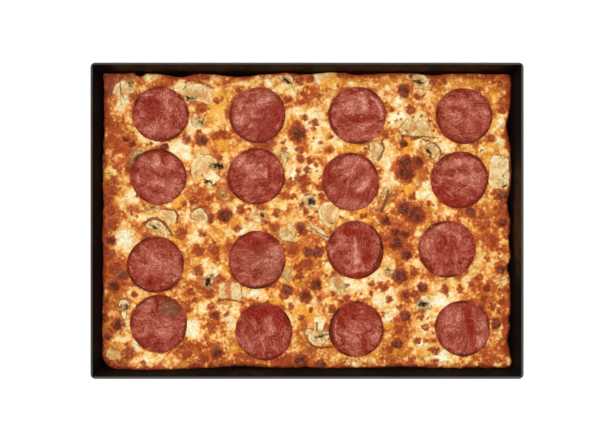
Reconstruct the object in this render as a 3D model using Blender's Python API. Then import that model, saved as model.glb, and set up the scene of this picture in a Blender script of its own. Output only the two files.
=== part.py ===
"""A rectangular pan pizza with pepperoni and mushrooms, in the black steel pan it was baked in.

Metres, +Z up. The origin is the middle of the pan's underside, +X runs along the long side
and +Y along the short one. Toppings are placed in pixels of the photograph taken from above.
"""
import math
import random
from collections import namedtuple

import bmesh
import bpy
from mathutils import Matrix, Vector, noise

MM = 0.001
SHARP = math.radians(35)

# The pan: one steel sheet, pressed, with its top edge folded outwards into a hem
PAN_LENGTH = 375 * MM
PAN_WIDTH = 274 * MM
PAN_DEPTH = 51 * MM
SHEET = 1.2 * MM
HEM_WIDTH = 2.4 * MM
HEM_HEIGHT = 7 * MM
HEM_ROUNDING = 0.5 * MM
WALL_LEAN = math.radians(8.5)
PAN_CORNER = 3 * MM
PAN_FOOT = 3 * MM

# The photograph: its middle is the pan's middle, and a pixel is measured at the cheese
PHOTO_MIDDLE = (307, 220.5)
PIXEL = 0.885 * MM

# The pizza: a thick crust with the cheese baked onto it
CLEARANCE = 0.4 * MM
CRUST_BOTTOM = SHEET + CLEARANCE
CRUST_TOP = 23 * MM
CRUST_MARGIN = 0.6 * MM
CHEESE_BOTTOM = CRUST_TOP + 0.3 * MM
CHEESE_LEVEL = 27.3 * MM
CHEESE_MARGIN = 1.7 * MM
CHEESE_EDGE = 2.4 * MM
EDGE_DROP = 2.2 * MM
EDGE_RISE = 1.3 * MM
EDGE_REACH = 7 * MM

# Waves of the cheese: height and wavelength
WAVES = ((0.7 * MM, 42 * MM), (0.45 * MM, 15 * MM))
BLISTER_HEIGHT = 1.5 * MM
# The part of the relief's faces that its flatter stretches can do without is left out
CHEESE_FACES = 0.18

# Where the rim of the pizza draws back from the wall: middle, depth and width in pixels
DIPS = {
    "top": ((140, 3.0, 4), (178, 3.4, 13), (238, 3.6, 22), (306, 1.2, 9), (362, 1.2, 16), (430, 1.6, 14)),
    "right": ((124, 3.8, 13), (203, 2.8, 13), (238, 2.2, 10), (268, 3.2, 7), (318, 1.2, 8), (342, 3.2, 11)),
    "bottom": ((245, 2.2, 26), (306, 1.2, 12), (400, 1.4, 26)),
    "left": ((110, 0.8, 60),),
}
# Where the cheese has climbed the wall: side, middle and width in pixels, height
CLIMBS = (("bottom", 152, 32, 5.0 * MM), ("top", 337, 12, 1.8 * MM), ("top", 285, 12, 1.2 * MM))
CORNER_RADII = {("left", "top"): 3, ("right", "top"): 3, ("right", "bottom"): 4, ("left", "bottom"): 15}

# Pepperoni: places and radii in pixels, row by row from the top left
PEPPERONI_THICK = 1.9 * MM
PEPPERONI_SUNK = 1.0 * MM
PEPPERONI_SIDES = 24
PEPPERONI_LIP = 0.13
PEPPERONI_DISH = 0.35 * MM
PEPPERONI = (
    ((160.7, 114.2, 27.6), (257.6, 115.1, 27.7), (357.0, 115.4, 28.3), (463.7, 116.0, 27.7)),
    ((158.5, 176.5, 27.7), (256.2, 176.3, 28.0), (350.6, 181.5, 28.5), (459.2, 179.8, 28.3)),
    ((155.7, 264.4, 28.0), (256.8, 259.8, 28.4), (355.2, 249.7, 28.5), (446.7, 248.7, 28.2)),
    ((158.9, 323.5, 28.4), (264.2, 331.2, 28.2), (356.0, 329.0, 27.4), (462.3, 328.0, 27.4)),
)

# Mushroom slices: middle, width and length in pixels, and the way the cap's dome points,
# in degrees from +X. A later slice lies over an earlier one.
Slice = namedtuple("Slice", "form x y width length turn")
MUSHROOM_THICK = 2.6 * MM
MUSHROOM_SUNK = 1.9 * MM
MUSHROOM_TILT = 4
MUSHROOMS = (
    Slice("cap", 197, 93, 35, 19, 80),
    Slice("whole", 124, 93, 23, 24, 98),
    Slice("cap", 197, 122, 16, 11, 225),
    Slice("cap", 138, 155, 14, 8, 120),
    Slice("whole", 206, 170, 31, 33, 128),
    Slice("cap", 170, 215, 19, 15, 45),
    Slice("cap", 158, 227, 26, 13, 55),
    Slice("cap", 199, 215, 18, 14, 95),
    Slice("cap", 153, 209, 11, 6, 80),
    Slice("cap", 224, 194, 9, 6, 60),
    Slice("cap", 289, 80, 15, 9, 45),
    Slice("cap", 285, 156, 11, 8, 40),
    Slice("cap", 375, 150, 22, 14, 0),
    Slice("cap", 422, 82, 20, 14, 30),
    Slice("cap", 416, 127, 34, 20, 80),
    Slice("cap", 433, 150, 20, 15, 50),
    Slice("strip", 499, 172, 20, 33, 90),
    Slice("cap", 257, 214, 17, 11, 90),
    Slice("cap", 308, 200, 14, 11, 130),
    Slice("cap", 327, 212, 25, 18, 155),
    Slice("whole", 288, 231, 18, 21, 250),
    Slice("strip", 319, 231, 6, 25, 145),
    Slice("strip", 384, 198, 8, 22, 65),
    Slice("whole", 124, 309, 12, 20, 92),
    Slice("cap", 210, 281, 13, 8, 310),
    Slice("strip", 231, 291, 23, 18, 90),
    Slice("cap", 113.5, 353, 18, 15, 200),
    Slice("whole", 318, 332, 27, 28, 262),
    Slice("cap", 339, 284, 20, 12, 30),
    Slice("strip", 287, 274, 5, 10, 75),
    Slice("cap", 424, 303, 17, 14, 80),
    Slice("cap", 388, 271, 8, 6, 150),
    Slice("strip", 499, 279, 4, 14, 12),
)

# The largest blisters of the cheese: middle and radius in pixels
BLISTERS = (
    (129, 142, 8), (201, 140, 6), (218, 136, 6), (297, 133, 8), (300, 158, 5), (404, 91, 6.5),
    (405, 172, 10), (417, 163, 6), (404, 208, 6), (415, 214, 9), (385, 220, 5.5), (396, 232, 6),
    (405, 245, 6), (405, 256, 5), (396, 245, 6), (470, 212, 5.5), (500, 197, 6), (501, 222, 6),
    (195, 200, 5), (225, 215, 7), (181, 234, 5), (198, 250, 6.5), (214, 249, 6.5), (112, 222, 6),
    (113, 190, 5), (112, 240, 5), (114, 285, 6.5), (122, 273, 6), (115, 266, 7), (119, 324, 6),
    (198, 271, 5), (215, 315, 6), (204, 358, 6), (217, 352, 6), (187, 354, 5), (316, 284, 7),
    (287, 289, 6), (306, 296, 6), (300, 228, 5), (308, 252, 5.5), (317, 252, 5.5), (293, 250, 5),
    (400, 276, 8), (405, 295, 5), (423, 286, 5), (405, 316, 6), (398, 328, 5), (396, 344, 6),
    (495, 324, 5.5), (435, 362, 5), (302, 360, 7), (501, 269, 5), (488, 288, 5), (301, 178, 5),
)

# Finishes: colour, roughness and metallic value
FINISHES = {
    "black_steel": ((0.012, 0.012, 0.013), 0.38, 0.6),
    "baked_crust": ((0.30, 0.12, 0.05), 0.75, 0.0),
    "baked_cheese": ((0.86, 0.52, 0.19), 0.45, 0.0),
    "cured_sausage": ((0.42, 0.075, 0.05), 0.40, 0.0),
    "mushroom_flesh": ((0.74, 0.56, 0.33), 0.60, 0.0),
}


def clear_scene():
    for obj in list(bpy.data.objects):
        bpy.data.objects.remove(obj)


def material(name):
    made = bpy.data.materials.get(name)
    if made is None:
        colour, roughness, metallic = FINISHES[name]
        made = bpy.data.materials.new(name)
        made.use_nodes = True
        shader = made.node_tree.nodes["Principled BSDF"]
        shader.inputs["Base Color"].default_value = (*colour, 1)
        shader.inputs["Roughness"].default_value = roughness
        shader.inputs["Metallic"].default_value = metallic
    return made


def collection(name, shown=True):
    made = bpy.data.collections.new(name)
    bpy.context.scene.collection.children.link(made)
    made.hide_render = not shown
    return made


def add_object(name, bm, into, finish=None, matrix=Matrix()):
    """Turns a bmesh into an object that lies where the matrix says."""
    mesh = bpy.data.meshes.new(name)
    bmesh.ops.recalc_face_normals(bm, faces=bm.faces)
    bm.to_mesh(mesh)
    bm.free()
    mesh.shade_smooth()
    mesh.set_sharp_from_angle(angle=SHARP)
    obj = bpy.data.objects.new(name, mesh)
    obj.matrix_world = matrix
    into.objects.link(obj)
    if finish:
        mesh.materials.append(material(finish))
    return obj


def add_cutter(name, bm, into, matrix):
    cutter = add_object(name, bm, into, matrix=matrix)
    cutter.hide_render = True
    cutter.display_type = "WIRE"
    return cutter


def cut(obj, name, operand):
    """Adds a Boolean difference with an object or with a whole collection."""
    modifier = obj.modifiers.new(name, "BOOLEAN")
    modifier.operation = "DIFFERENCE"
    modifier.solver = "EXACT"
    if isinstance(operand, bpy.types.Collection):
        modifier.operand_type = "COLLECTION"
        modifier.collection = operand
    else:
        modifier.object = operand


def from_photo(x, y):
    """Metres on the pizza for a pixel of the photograph."""
    return (x - PHOTO_MIDDLE[0]) * PIXEL, (PHOTO_MIDDLE[1] - y) * PIXEL


def inner_halves(z):
    """Half of the pan's inner length and width at a height."""
    lean = (PAN_DEPTH - z) * math.tan(WALL_LEAN)
    return PAN_LENGTH / 2 - HEM_WIDTH - lean, PAN_WIDTH / 2 - HEM_WIDTH - lean


def bell(distance, width):
    return math.exp(-((distance / width) ** 2))


def along_side(side, x, y):
    """The place along a side, in the pixels that the tables use."""
    return PHOTO_MIDDLE[0] + x / PIXEL if side in ("top", "bottom") else PHOTO_MIDDLE[1] - y / PIXEL


def dip(side, x, y):
    """How far the rim of the pizza lies back from the wall."""
    place = along_side(side, x, y)
    return sum(depth * bell(place - middle, width) for middle, depth, width in DIPS[side]) * PIXEL


def climb(x, y, reach):
    """How far the cheese stands up near a wall that it has climbed."""
    _, half_y = inner_halves(CHEESE_LEVEL)
    raised = 0
    for side, middle, width, height in CLIMBS:
        away = half_y - y if side == "top" else half_y + y
        raised += height * bell(along_side(side, x, y) - middle, width) * math.exp(-max(away, 0) / reach)
    return raised


def plan(u, v, z, margin):
    """Where a point of the unit square lies in the pizza's wavy outline at a height."""
    half_x, half_y = inner_halves(z)
    beside = "right" if u > 0 else "left"
    behind = "top" if v > 0 else "bottom"
    side_x = half_x - margin - dip(beside, 0, v * half_y)
    side_y = half_y - margin - dip(behind, u * half_x, 0)
    x, y = abs(u) * side_x, abs(v) * side_y
    radius = CORNER_RADII[beside, behind] * PIXEL
    in_x, in_y = x - (side_x - radius), y - (side_y - radius)
    if in_x > 0 and in_y > 0:
        pull = max(in_x, in_y) / math.hypot(in_x, in_y)
        x, y = side_x - radius + in_x * pull, side_y - radius + in_y * pull
    return math.copysign(x, u), math.copysign(y, v)


def blister(x, y):
    """The height of the nearest browned blister over the cheese."""
    raised = 0
    for place_x, place_y, radius in BLISTERS:
        middle_x, middle_y = from_photo(place_x, place_y)
        share = math.hypot(x - middle_x, y - middle_y) / (radius * PIXEL * 1.15)
        if share < 1:
            raised = max(raised, BLISTER_HEIGHT * (1 - share**2) ** 1.5)
    return raised


def cheese_height(x, y):
    """Height of the cheese, before anything is pressed into it."""
    half_x, half_y = inner_halves(CHEESE_LEVEL)
    to_wall = max(min(half_x - abs(x), half_y - abs(y)), 0)
    height = CHEESE_LEVEL + EDGE_RISE * math.exp(-to_wall / EDGE_REACH) + climb(x, y, EDGE_REACH)
    for layer, (rise, length) in enumerate(WAVES):
        height += rise * noise.noise(Vector((x / length, y / length, 3.7 * layer)))
    return height


def shell_corners(bm, edges, radius, segments):
    bmesh.ops.bevel(bm, geom=edges, offset=radius, segments=segments, profile=0.5, affect="EDGES")


def make_pan(into):
    """A tapered box without a lid, given a wall, with its top edge thickened to a hem."""
    bm = bmesh.new()
    bmesh.ops.create_cube(bm, size=2)
    for vert in bm.verts:
        z = PAN_DEPTH if vert.co.z > 0 else 0
        half_x, half_y = inner_halves(z)
        vert.co = (vert.co.x * (half_x + SHEET), vert.co.y * (half_y + SHEET), z)
    lid = max(bm.faces, key=lambda face: face.calc_center_median().z)
    bmesh.ops.delete(bm, geom=[lid], context="FACES_ONLY")
    upright = [edge for edge in bm.edges if abs(edge.verts[0].co.z - edge.verts[1].co.z) > PAN_DEPTH / 2]
    shell_corners(bm, upright, PAN_CORNER, 4)
    foot = [edge for edge in bm.edges if max(vert.co.z for vert in edge.verts) < MM]
    shell_corners(bm, foot, PAN_FOOT, 3)
    bmesh.ops.recalc_face_normals(bm, faces=bm.faces)
    bmesh.ops.solidify(bm, geom=bm.faces, thickness=SHEET)
    fold = PAN_DEPTH - HEM_HEIGHT
    bmesh.ops.bisect_plane(bm, geom=bm.verts[:] + bm.edges[:] + bm.faces[:], plane_co=(0, 0, fold), plane_no=(0, 0, 1))
    bmesh.ops.recalc_face_normals(bm, faces=bm.faces)
    band = [
        face
        for face in bm.faces
        if face.calc_center_median().z > fold
        and abs(face.normal.z) < 0.5
        and face.normal.dot(Vector((*face.calc_center_median().xy, 0))) > 0
    ]
    bmesh.ops.inset_region(bm, faces=band, thickness=0, depth=HEM_WIDTH - SHEET, use_even_offset=True)
    for vert in bm.verts:
        if vert.co.z > PAN_DEPTH - MM:
            vert.co.z = PAN_DEPTH
    bm.normal_update()
    lips = [
        edge
        for edge in bm.edges
        if min(vert.co.z for vert in edge.verts) > PAN_DEPTH - MM
        and len(edge.link_faces) == 2
        and edge.calc_face_angle() > 1
    ]
    shell_corners(bm, lips, HEM_ROUNDING, 2)
    return add_object("pan", bm, into, "black_steel")


def make_crust(into):
    """The dough: one outline of the unit square, raised level by level inside the pan."""
    # Height and margin of each level, from the bottom up
    levels = (
        (CRUST_BOTTOM, 3.2 * MM),
        (CRUST_BOTTOM + 4 * MM, CRUST_MARGIN),
        (CRUST_TOP - 1.6 * MM, CRUST_MARGIN),
        (CRUST_TOP - 0.4 * MM, CRUST_MARGIN + 0.5 * MM),
        (CRUST_TOP, CRUST_MARGIN + 1.6 * MM),
    )
    bm = bmesh.new()
    bmesh.ops.create_grid(bm, x_segments=32, y_segments=24, size=1)
    bmesh.ops.dissolve_faces(bm, faces=bm.faces)
    top = bm.faces[:]
    for level in range(1, len(levels)):
        raised = bmesh.ops.extrude_face_region(bm, geom=top)["geom"]
        bmesh.ops.translate(bm, vec=(0, 0, 1), verts=[item for item in raised if isinstance(item, bmesh.types.BMVert)])
        if level > 1:
            bmesh.ops.delete(bm, geom=top, context="FACES_ONLY")
        top = [item for item in raised if isinstance(item, bmesh.types.BMFace)]
    for vert in bm.verts:
        z, margin = levels[round(vert.co.z)]
        vert.co = (*plan(vert.co.x, vert.co.y, z, margin), z)
    return add_object("crust", bm, into, "baked_crust")


def spaced(step, cells, half):
    """Evens out a grid line so that the last cell before the rim is one edge wide."""
    inner = cells / 2 - 1
    place = abs(step) * cells / 2
    share = (1 - CHEESE_EDGE / half) * place / inner if place < inner + 0.5 else 1
    return math.copysign(share, step)


def make_cheese(into, seats):
    """The cheese: a grid laid into the outline, given its relief, closed below and cut for the toppings."""
    cells_x, cells_y = 112, 82
    bm = bmesh.new()
    bmesh.ops.create_grid(bm, x_segments=cells_x, y_segments=cells_y, size=1)
    lowered = bmesh.ops.extrude_face_region(bm, geom=bm.faces[:])["geom"]
    bmesh.ops.translate(bm, vec=(0, 0, -1), verts=[item for item in lowered if isinstance(item, bmesh.types.BMVert)])
    base = [face for face in bm.faces if all(vert.co.z < -0.5 for vert in face.verts)]
    bmesh.ops.dissolve_faces(bm, faces=base)
    half_x, half_y = inner_halves(CHEESE_LEVEL)
    for vert in bm.verts:
        at_rim = max(abs(vert.co.x), abs(vert.co.y)) > 0.999
        u = spaced(vert.co.x, cells_x, half_x)
        v = spaced(vert.co.y, cells_y, half_y)
        if vert.co.z < -0.5:
            vert.co = (*plan(u, v, CHEESE_BOTTOM, CHEESE_MARGIN), CHEESE_BOTTOM)
            continue
        raised = climb(u * half_x, v * half_y, EDGE_REACH)
        x, y = plan(u, v, CHEESE_BOTTOM + raised, CHEESE_MARGIN - min(raised * 0.2, MM))
        z = cheese_height(x, y) + blister(x, y)
        vert.co = (x, y, z - EDGE_DROP if at_rim else z)
    cheese = add_object("cheese", bm, into, "baked_cheese")
    thin_out = cheese.modifiers.new("fewer_faces", "DECIMATE")
    thin_out.ratio = CHEESE_FACES
    cut(cheese, "seats", seats)
    return cheese


def resting(x, y, turn, sunk, tilt, rng):
    """The matrix of a topping that lies on the cheese, pressed in by a depth and a little askew."""
    lean = Matrix.Rotation(math.radians(rng.uniform(-tilt, tilt)), 4, "X")
    lean @= Matrix.Rotation(math.radians(rng.uniform(-tilt, tilt)), 4, "Y")
    place = Matrix.Translation((x, y, cheese_height(x, y) - sunk))
    return place @ lean @ Matrix.Rotation(math.radians(turn), 4, "Z")


def pepperoni_shape(radius, phase, grown=0.0):
    """A thin round slice, a little uneven, with a shallow dish inside its lip."""
    bm = bmesh.new()
    bmesh.ops.create_cone(
        bm, cap_ends=True, segments=PEPPERONI_SIDES, radius1=radius, radius2=radius, depth=PEPPERONI_THICK
    )
    bmesh.ops.translate(bm, vec=(0, 0, PEPPERONI_THICK / 2), verts=bm.verts)
    face = max(bm.faces, key=lambda item: item.calc_center_median().z)
    bmesh.ops.inset_region(bm, faces=[face], thickness=radius * PEPPERONI_LIP, depth=0)
    for vert in bm.verts:
        angle = math.atan2(vert.co.y, vert.co.x)
        out = math.hypot(vert.co.x, vert.co.y)
        out *= 1 + 0.012 * math.sin(2 * angle + phase) + 0.008 * math.sin(3 * angle - 2 * phase)
        if vert.co.z > PEPPERONI_THICK / 2:
            if out < radius * 0.95:
                vert.co.z -= PEPPERONI_DISH
            vert.co.z += 8 * MM if grown else 0
        else:
            vert.co.z -= grown
        vert.co.xy = (math.cos(angle) * (out + grown), math.sin(angle) * (out + grown))
    return bm


def make_pepperoni(into, cutters, rng):
    for row, line in enumerate(PEPPERONI, 1):
        for column, (x, y, radius) in enumerate(line, 1):
            name = f"pepperoni_{row}{column}"
            phase = rng.uniform(0, math.tau)
            matrix = resting(*from_photo(x, y), 0, PEPPERONI_SUNK, 1.0, rng)
            add_object(name, pepperoni_shape(radius * PIXEL, phase), into, "cured_sausage", matrix)
            add_cutter(name + "_seat", pepperoni_shape(radius * PIXEL, phase, CLEARANCE), cutters, matrix)


def slice_outline(form, width, length):
    """The outline of a mushroom slice, with the dome of its cap towards +Y."""
    half, top, foot = width / 2, length / 2, -length / 2
    if form == "strip":
        trim = min(width, length) * 0.2
        corners = ((half, foot), (half, top), (-half, top), (-half, foot))
        return [
            (x - math.copysign(dx, x), y - math.copysign(dy, y))
            for x, y in corners
            for dx, dy in (((0, trim), (trim, 0)) if x * y > 0 else ((trim, 0), (0, trim)))
        ]
    under = foot if form == "cap" else top - min(0.62 * width, 0.62 * length)
    dome = [math.pi * step / 8 for step in range(9)]
    points = [(half * math.cos(angle), under + (top - under) * max(math.sin(angle), 0.22)) for angle in dome]
    points = [(half * 0.82, under + (top - under) * 0.02)] + points + [(-half * 0.82, under + (top - under) * 0.02)]
    if form == "cap":
        return points + [(0, under + (top - under) * 0.12)]
    neck, heel = 0.36 * half, 0.46 * half
    stem = [(-neck, under + 0.12 * half), (-neck, 0.5 * (under + foot)), (-heel, foot)]
    return points + stem + [(-x, y) for x, y in reversed(stem)]


def slice_shape(piece, grown=0.0):
    """A flat slice from its outline; a grown one reaches past it on every side and far upwards."""
    outline = slice_outline(piece.form, piece.width * PIXEL, piece.length * PIXEL)
    curve = bpy.data.curves.new("slice_outline", "CURVE")
    curve.dimensions = "2D"
    curve.fill_mode = "BOTH"
    curve.extrude = MUSHROOM_THICK / 2
    spline = curve.splines.new("POLY")
    spline.points.add(len(outline) - 1)
    for point, (x, y) in zip(spline.points, outline):
        point.co = (x, y, 0, 1)
    spline.use_cyclic_u = True
    guide = bpy.data.objects.new("slice_outline", curve)
    mesh = bpy.data.meshes.new_from_object(guide)
    bm = bmesh.new()
    bm.from_mesh(mesh)
    bpy.data.objects.remove(guide)
    bpy.data.meshes.remove(mesh)
    bmesh.ops.remove_doubles(bm, verts=bm.verts, dist=0.01 * MM)
    bmesh.ops.translate(bm, vec=(0, 0, MUSHROOM_THICK / 2), verts=bm.verts)
    bmesh.ops.recalc_face_normals(bm, faces=bm.faces)
    if grown:
        bm.normal_update()
        moves = [vert.normal * grown * min(vert.calc_shell_factor(), 2) for vert in bm.verts]
        for vert, move in zip(bm.verts, moves):
            if vert.co.z > MUSHROOM_THICK / 2:
                vert.co.z += 8 * MM
            vert.co += move
    return bm


def make_mushrooms(into, seats, under_pepperoni, rng):
    placed = []
    for number, piece in enumerate(MUSHROOMS, 1):
        name = f"mushroom_{number:02d}"
        matrix = resting(*from_photo(piece.x, piece.y), piece.turn - 90, MUSHROOM_SUNK, MUSHROOM_TILT, rng)
        slice_object = add_object(name, slice_shape(piece), into, "mushroom_flesh", matrix)
        seat = add_cutter(name + "_seat", slice_shape(piece, CLEARANCE), seats, matrix)
        placed.append((piece, slice_object, seat))
    for number, (piece, slice_object, _) in enumerate(placed):
        reach = max(piece.width, piece.length) / 2
        for disc in under_pepperoni.objects:
            away = (disc.matrix_world.translation.xy - slice_object.matrix_world.translation.xy).length
            if away < (reach + 29.5) * PIXEL:
                cut(slice_object, "under_" + disc.name, disc)
        for other, _, seat in placed[number + 1 :]:
            away = math.hypot(piece.x - other.x, piece.y - other.y)
            if away < reach + max(other.width, other.length) / 2 + 1:
                cut(slice_object, "under_" + seat.name, seat)


def main():
    clear_scene()
    rng = random.Random(7)
    pizza = collection("pan_pizza")
    pepperoni_seats = collection("pepperoni_seats", shown=False)
    mushroom_seats = collection("mushroom_seats", shown=False)
    seats = collection("seats", shown=False)
    make_pan(pizza)
    make_crust(pizza)
    make_pepperoni(pizza, pepperoni_seats, rng)
    make_mushrooms(pizza, mushroom_seats, pepperoni_seats, rng)
    for seat in list(pepperoni_seats.objects) + list(mushroom_seats.objects):
        seats.objects.link(seat)
    make_cheese(pizza, seats)
    stand = bpy.data.objects.new("pan_pizza", None)
    pizza.objects.link(stand)
    for obj in pizza.objects:
        if obj is not stand:
            obj.parent = stand


main()
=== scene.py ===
"""A pan pizza with pepperoni and mushrooms in its black steel pan: the looks.

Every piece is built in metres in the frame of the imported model: the origin is the middle of the
pan's underside, +X runs along the long side, +Y along the short one and +Z up. What lies on the
pizza is placed in pixels of the photograph, which looks straight down on it.
"""

from __future__ import annotations

import logging
import math
import random
from dataclasses import dataclass, field
from enum import Enum
from typing import NamedTuple

import bmesh
import bpy
import numpy as np
from mathutils import Matrix, Vector, noise


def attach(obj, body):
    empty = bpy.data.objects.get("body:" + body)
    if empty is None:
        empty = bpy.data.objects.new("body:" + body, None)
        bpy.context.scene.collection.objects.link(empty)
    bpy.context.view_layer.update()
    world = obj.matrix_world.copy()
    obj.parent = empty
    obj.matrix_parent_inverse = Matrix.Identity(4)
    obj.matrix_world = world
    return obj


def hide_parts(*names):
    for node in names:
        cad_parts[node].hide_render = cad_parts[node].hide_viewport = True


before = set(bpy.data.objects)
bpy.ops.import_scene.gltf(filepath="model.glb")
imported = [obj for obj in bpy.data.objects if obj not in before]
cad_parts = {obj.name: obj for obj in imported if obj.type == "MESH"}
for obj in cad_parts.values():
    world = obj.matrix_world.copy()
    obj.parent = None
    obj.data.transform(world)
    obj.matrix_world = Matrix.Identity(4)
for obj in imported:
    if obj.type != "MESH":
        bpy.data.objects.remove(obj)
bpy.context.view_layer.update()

LOG = logging.getLogger("pan_pizza")

MM = 0.001
PHOTO_MIDDLE = (307.0, 220.5)
PIXEL = 0.885 * MM
BODY = "root"

# What the studio's light multiplies a level surface's colour by
GAIN = 1.25


# Small helpers


def from_photo(x: float, y: float) -> tuple[float, float]:
    """Metres on the pizza for a pixel of the photograph.

    Args:
        x: Pixels from the left.
        y: Pixels from the top.

    Returns:
        The place along the pan's long and short sides.
    """
    return (x - PHOTO_MIDDLE[0]) * PIXEL, (PHOTO_MIDDLE[1] - y) * PIXEL


def lit(red: float, green: float, blue: float) -> tuple[float, float, float]:
    """The surface colour that shows as a screen colour in the studio's light.

    Args:
        red: Screen value from 0 to 255.
        green: Screen value from 0 to 255.
        blue: Screen value from 0 to 255.

    Returns:
        The three linear values, divided by the light's gain.
    """

    def one(level: float) -> float:
        """One linear value."""
        share = level / 255
        linear = share / 12.92 if share <= 0.04045 else ((share + 0.055) / 1.055) ** 2.4
        return linear / GAIN

    return one(red), one(green), one(blue)


def ramp(low: float, high: float, value: np.ndarray) -> np.ndarray:
    """A smooth step from 0 at low to 1 at high, which may lie either way round."""
    share = np.clip((value - low) / (high - low), 0, 1)
    return share * share * (3 - 2 * share)


class Ripple:
    """A smooth random field over the plane, from -1 to 1, the same at every run."""

    SIZE = 128
    ORIGIN = (57.3, 61.7)
    STRENGTH = 1.5

    def __init__(self, seed: int, wavelength: float) -> None:
        """Draws the field's lattice.

        Args:
            seed: Which field it is.
            wavelength: The distance between the lattice's points, in metres.
        """
        self.lattice = np.random.default_rng(seed).uniform(-1, 1, (self.SIZE, self.SIZE))
        self.wavelength = wavelength

    def at(self, x: np.ndarray, y: np.ndarray) -> np.ndarray:
        """The field's values at places of the plane.

        Args:
            x: Metres along the long side.
            y: Metres along the short side.

        Returns:
            One value a place.
        """
        across, up = x / self.wavelength + self.ORIGIN[0], y / self.wavelength + self.ORIGIN[1]
        column, row = np.floor(across).astype(int), np.floor(up).astype(int)
        s, t = across - column, up - row
        s, t = s * s * (3 - 2 * s), t * t * (3 - 2 * t)
        left, right = column % self.SIZE, (column + 1) % self.SIZE
        low, high = row % self.SIZE, (row + 1) % self.SIZE
        below = self.lattice[low, left] * (1 - s) + self.lattice[low, right] * s
        above = self.lattice[high, left] * (1 - s) + self.lattice[high, right] * s
        return (below * (1 - t) + above * t) * self.STRENGTH


def distance_to_outline(x: np.ndarray, y: np.ndarray, outline: np.ndarray) -> np.ndarray:
    """How far places lie inside a closed outline, below zero where they are outside.

    Args:
        x: The places' first coordinates.
        y: The places' second coordinates.
        outline: The corners in order, one a row.

    Returns:
        One distance a place.
    """
    nearest = np.full(x.shape, np.inf)
    inside = np.zeros(x.shape, dtype=bool)
    for (ax, ay), (bx, by) in zip(outline, np.roll(outline, -1, axis=0)):
        dx, dy = bx - ax, by - ay
        along = np.clip(((x - ax) * dx + (y - ay) * dy) / (dx * dx + dy * dy), 0, 1)
        nearest = np.minimum(nearest, np.hypot(x - ax - along * dx, y - ay - along * dy))
        if ay != by:
            crosses = (ay > y) != (by > y)
            inside ^= crosses & (x < ax + (y - ay) * dx / dy)
    return np.where(inside, nearest, -nearest)


def vertex_places(mesh: bpy.types.Mesh) -> np.ndarray:
    """The mesh's vertices, one a row."""
    flat = np.empty(len(mesh.vertices) * 3, dtype=np.float32)
    mesh.vertices.foreach_get("co", flat)
    return flat.reshape(-1, 3).astype(float)


def set_places(mesh: bpy.types.Mesh, places: np.ndarray) -> None:
    """Moves the mesh's vertices to the rows of an array."""
    mesh.vertices.foreach_set("co", places.astype(np.float32).ravel())
    mesh.update()


def paint(mesh: bpy.types.Mesh, **layers: np.ndarray) -> None:
    """Stores a value a vertex under each name, for the finish to read.

    Args:
        mesh: The mesh that carries the layers.
        layers: One number, or one vector of three, for each vertex.
    """
    for name, values in layers.items():
        if values.ndim == 2:
            layer = mesh.attributes.new(name, "FLOAT_VECTOR", "POINT")
            layer.data.foreach_set("vector", values.astype(np.float32).ravel())
        else:
            layer = mesh.attributes.new(name, "FLOAT", "POINT")
            layer.data.foreach_set("value", values.astype(np.float32))


def to_mesh(name: str, bm: bmesh.types.BMesh) -> bpy.types.Mesh:
    """Turns a bmesh into a mesh with its faces pointing out, and frees it."""
    bmesh.ops.recalc_face_normals(bm, faces=bm.faces)
    mesh = bpy.data.meshes.new(name)
    bm.to_mesh(mesh)
    bm.free()
    mesh.shade_smooth()
    return mesh


def place_piece(
    name: str, mesh: bpy.types.Mesh, finish: bpy.types.Material, node: str
) -> bpy.types.Object:
    """Puts a finished mesh into the scene in place of a solid.

    Args:
        name: The piece's name.
        mesh: Its mesh, already in place.
        finish: Its material.
        node: The solid that it stands for.

    Returns:
        The piece.
    """
    piece = bpy.data.objects.new(name, mesh)
    bpy.context.scene.collection.objects.link(piece)
    mesh.materials.clear()
    mesh.materials.append(finish)
    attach(piece, BODY)
    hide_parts(node)
    LOG.info("%s: %d faces", name, len(mesh.polygons))
    return piece


# Shader maths


class Wire:
    """A socket's value, which Python's operators turn into Math nodes."""

    def __init__(self, book: "NodeBook", socket: bpy.types.NodeSocket) -> None:
        """Wraps a socket of a material or a world."""
        self.book = book
        self.socket = socket

    def _maths(self, operation: str, first: object, second: object = 0.0) -> "Wire":
        """Adds one Math node and gives its value."""
        return self.book.wire("ShaderNodeMath", {"operation": operation}, {0: first, 1: second})

    def __add__(self, other: object) -> "Wire":
        """This value plus another."""
        return self._maths("ADD", self, other)

    __radd__ = __add__

    def __mul__(self, other: object) -> "Wire":
        """This value times another."""
        return self._maths("MULTIPLY", self, other)

    __rmul__ = __mul__

    def __sub__(self, other: object) -> "Wire":
        """This value less another."""
        return self._maths("SUBTRACT", self, other)

    def __rsub__(self, other: object) -> "Wire":
        """Another value less this one."""
        return self._maths("SUBTRACT", other, self)

    def between(self, low: float, high: float) -> "Wire":
        """A smooth step from 0 at low to 1 at high.

        Args:
            low: Where the step starts.
            high: Where it ends.

        Returns:
            The step's value.
        """
        settings = {"interpolation_type": "SMOOTHSTEP"}
        sockets = {0: self, 1: low, 2: high, 3: 0.0, 4: 1.0}
        return self.book.wire("ShaderNodeMapRange", settings, sockets)


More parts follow.
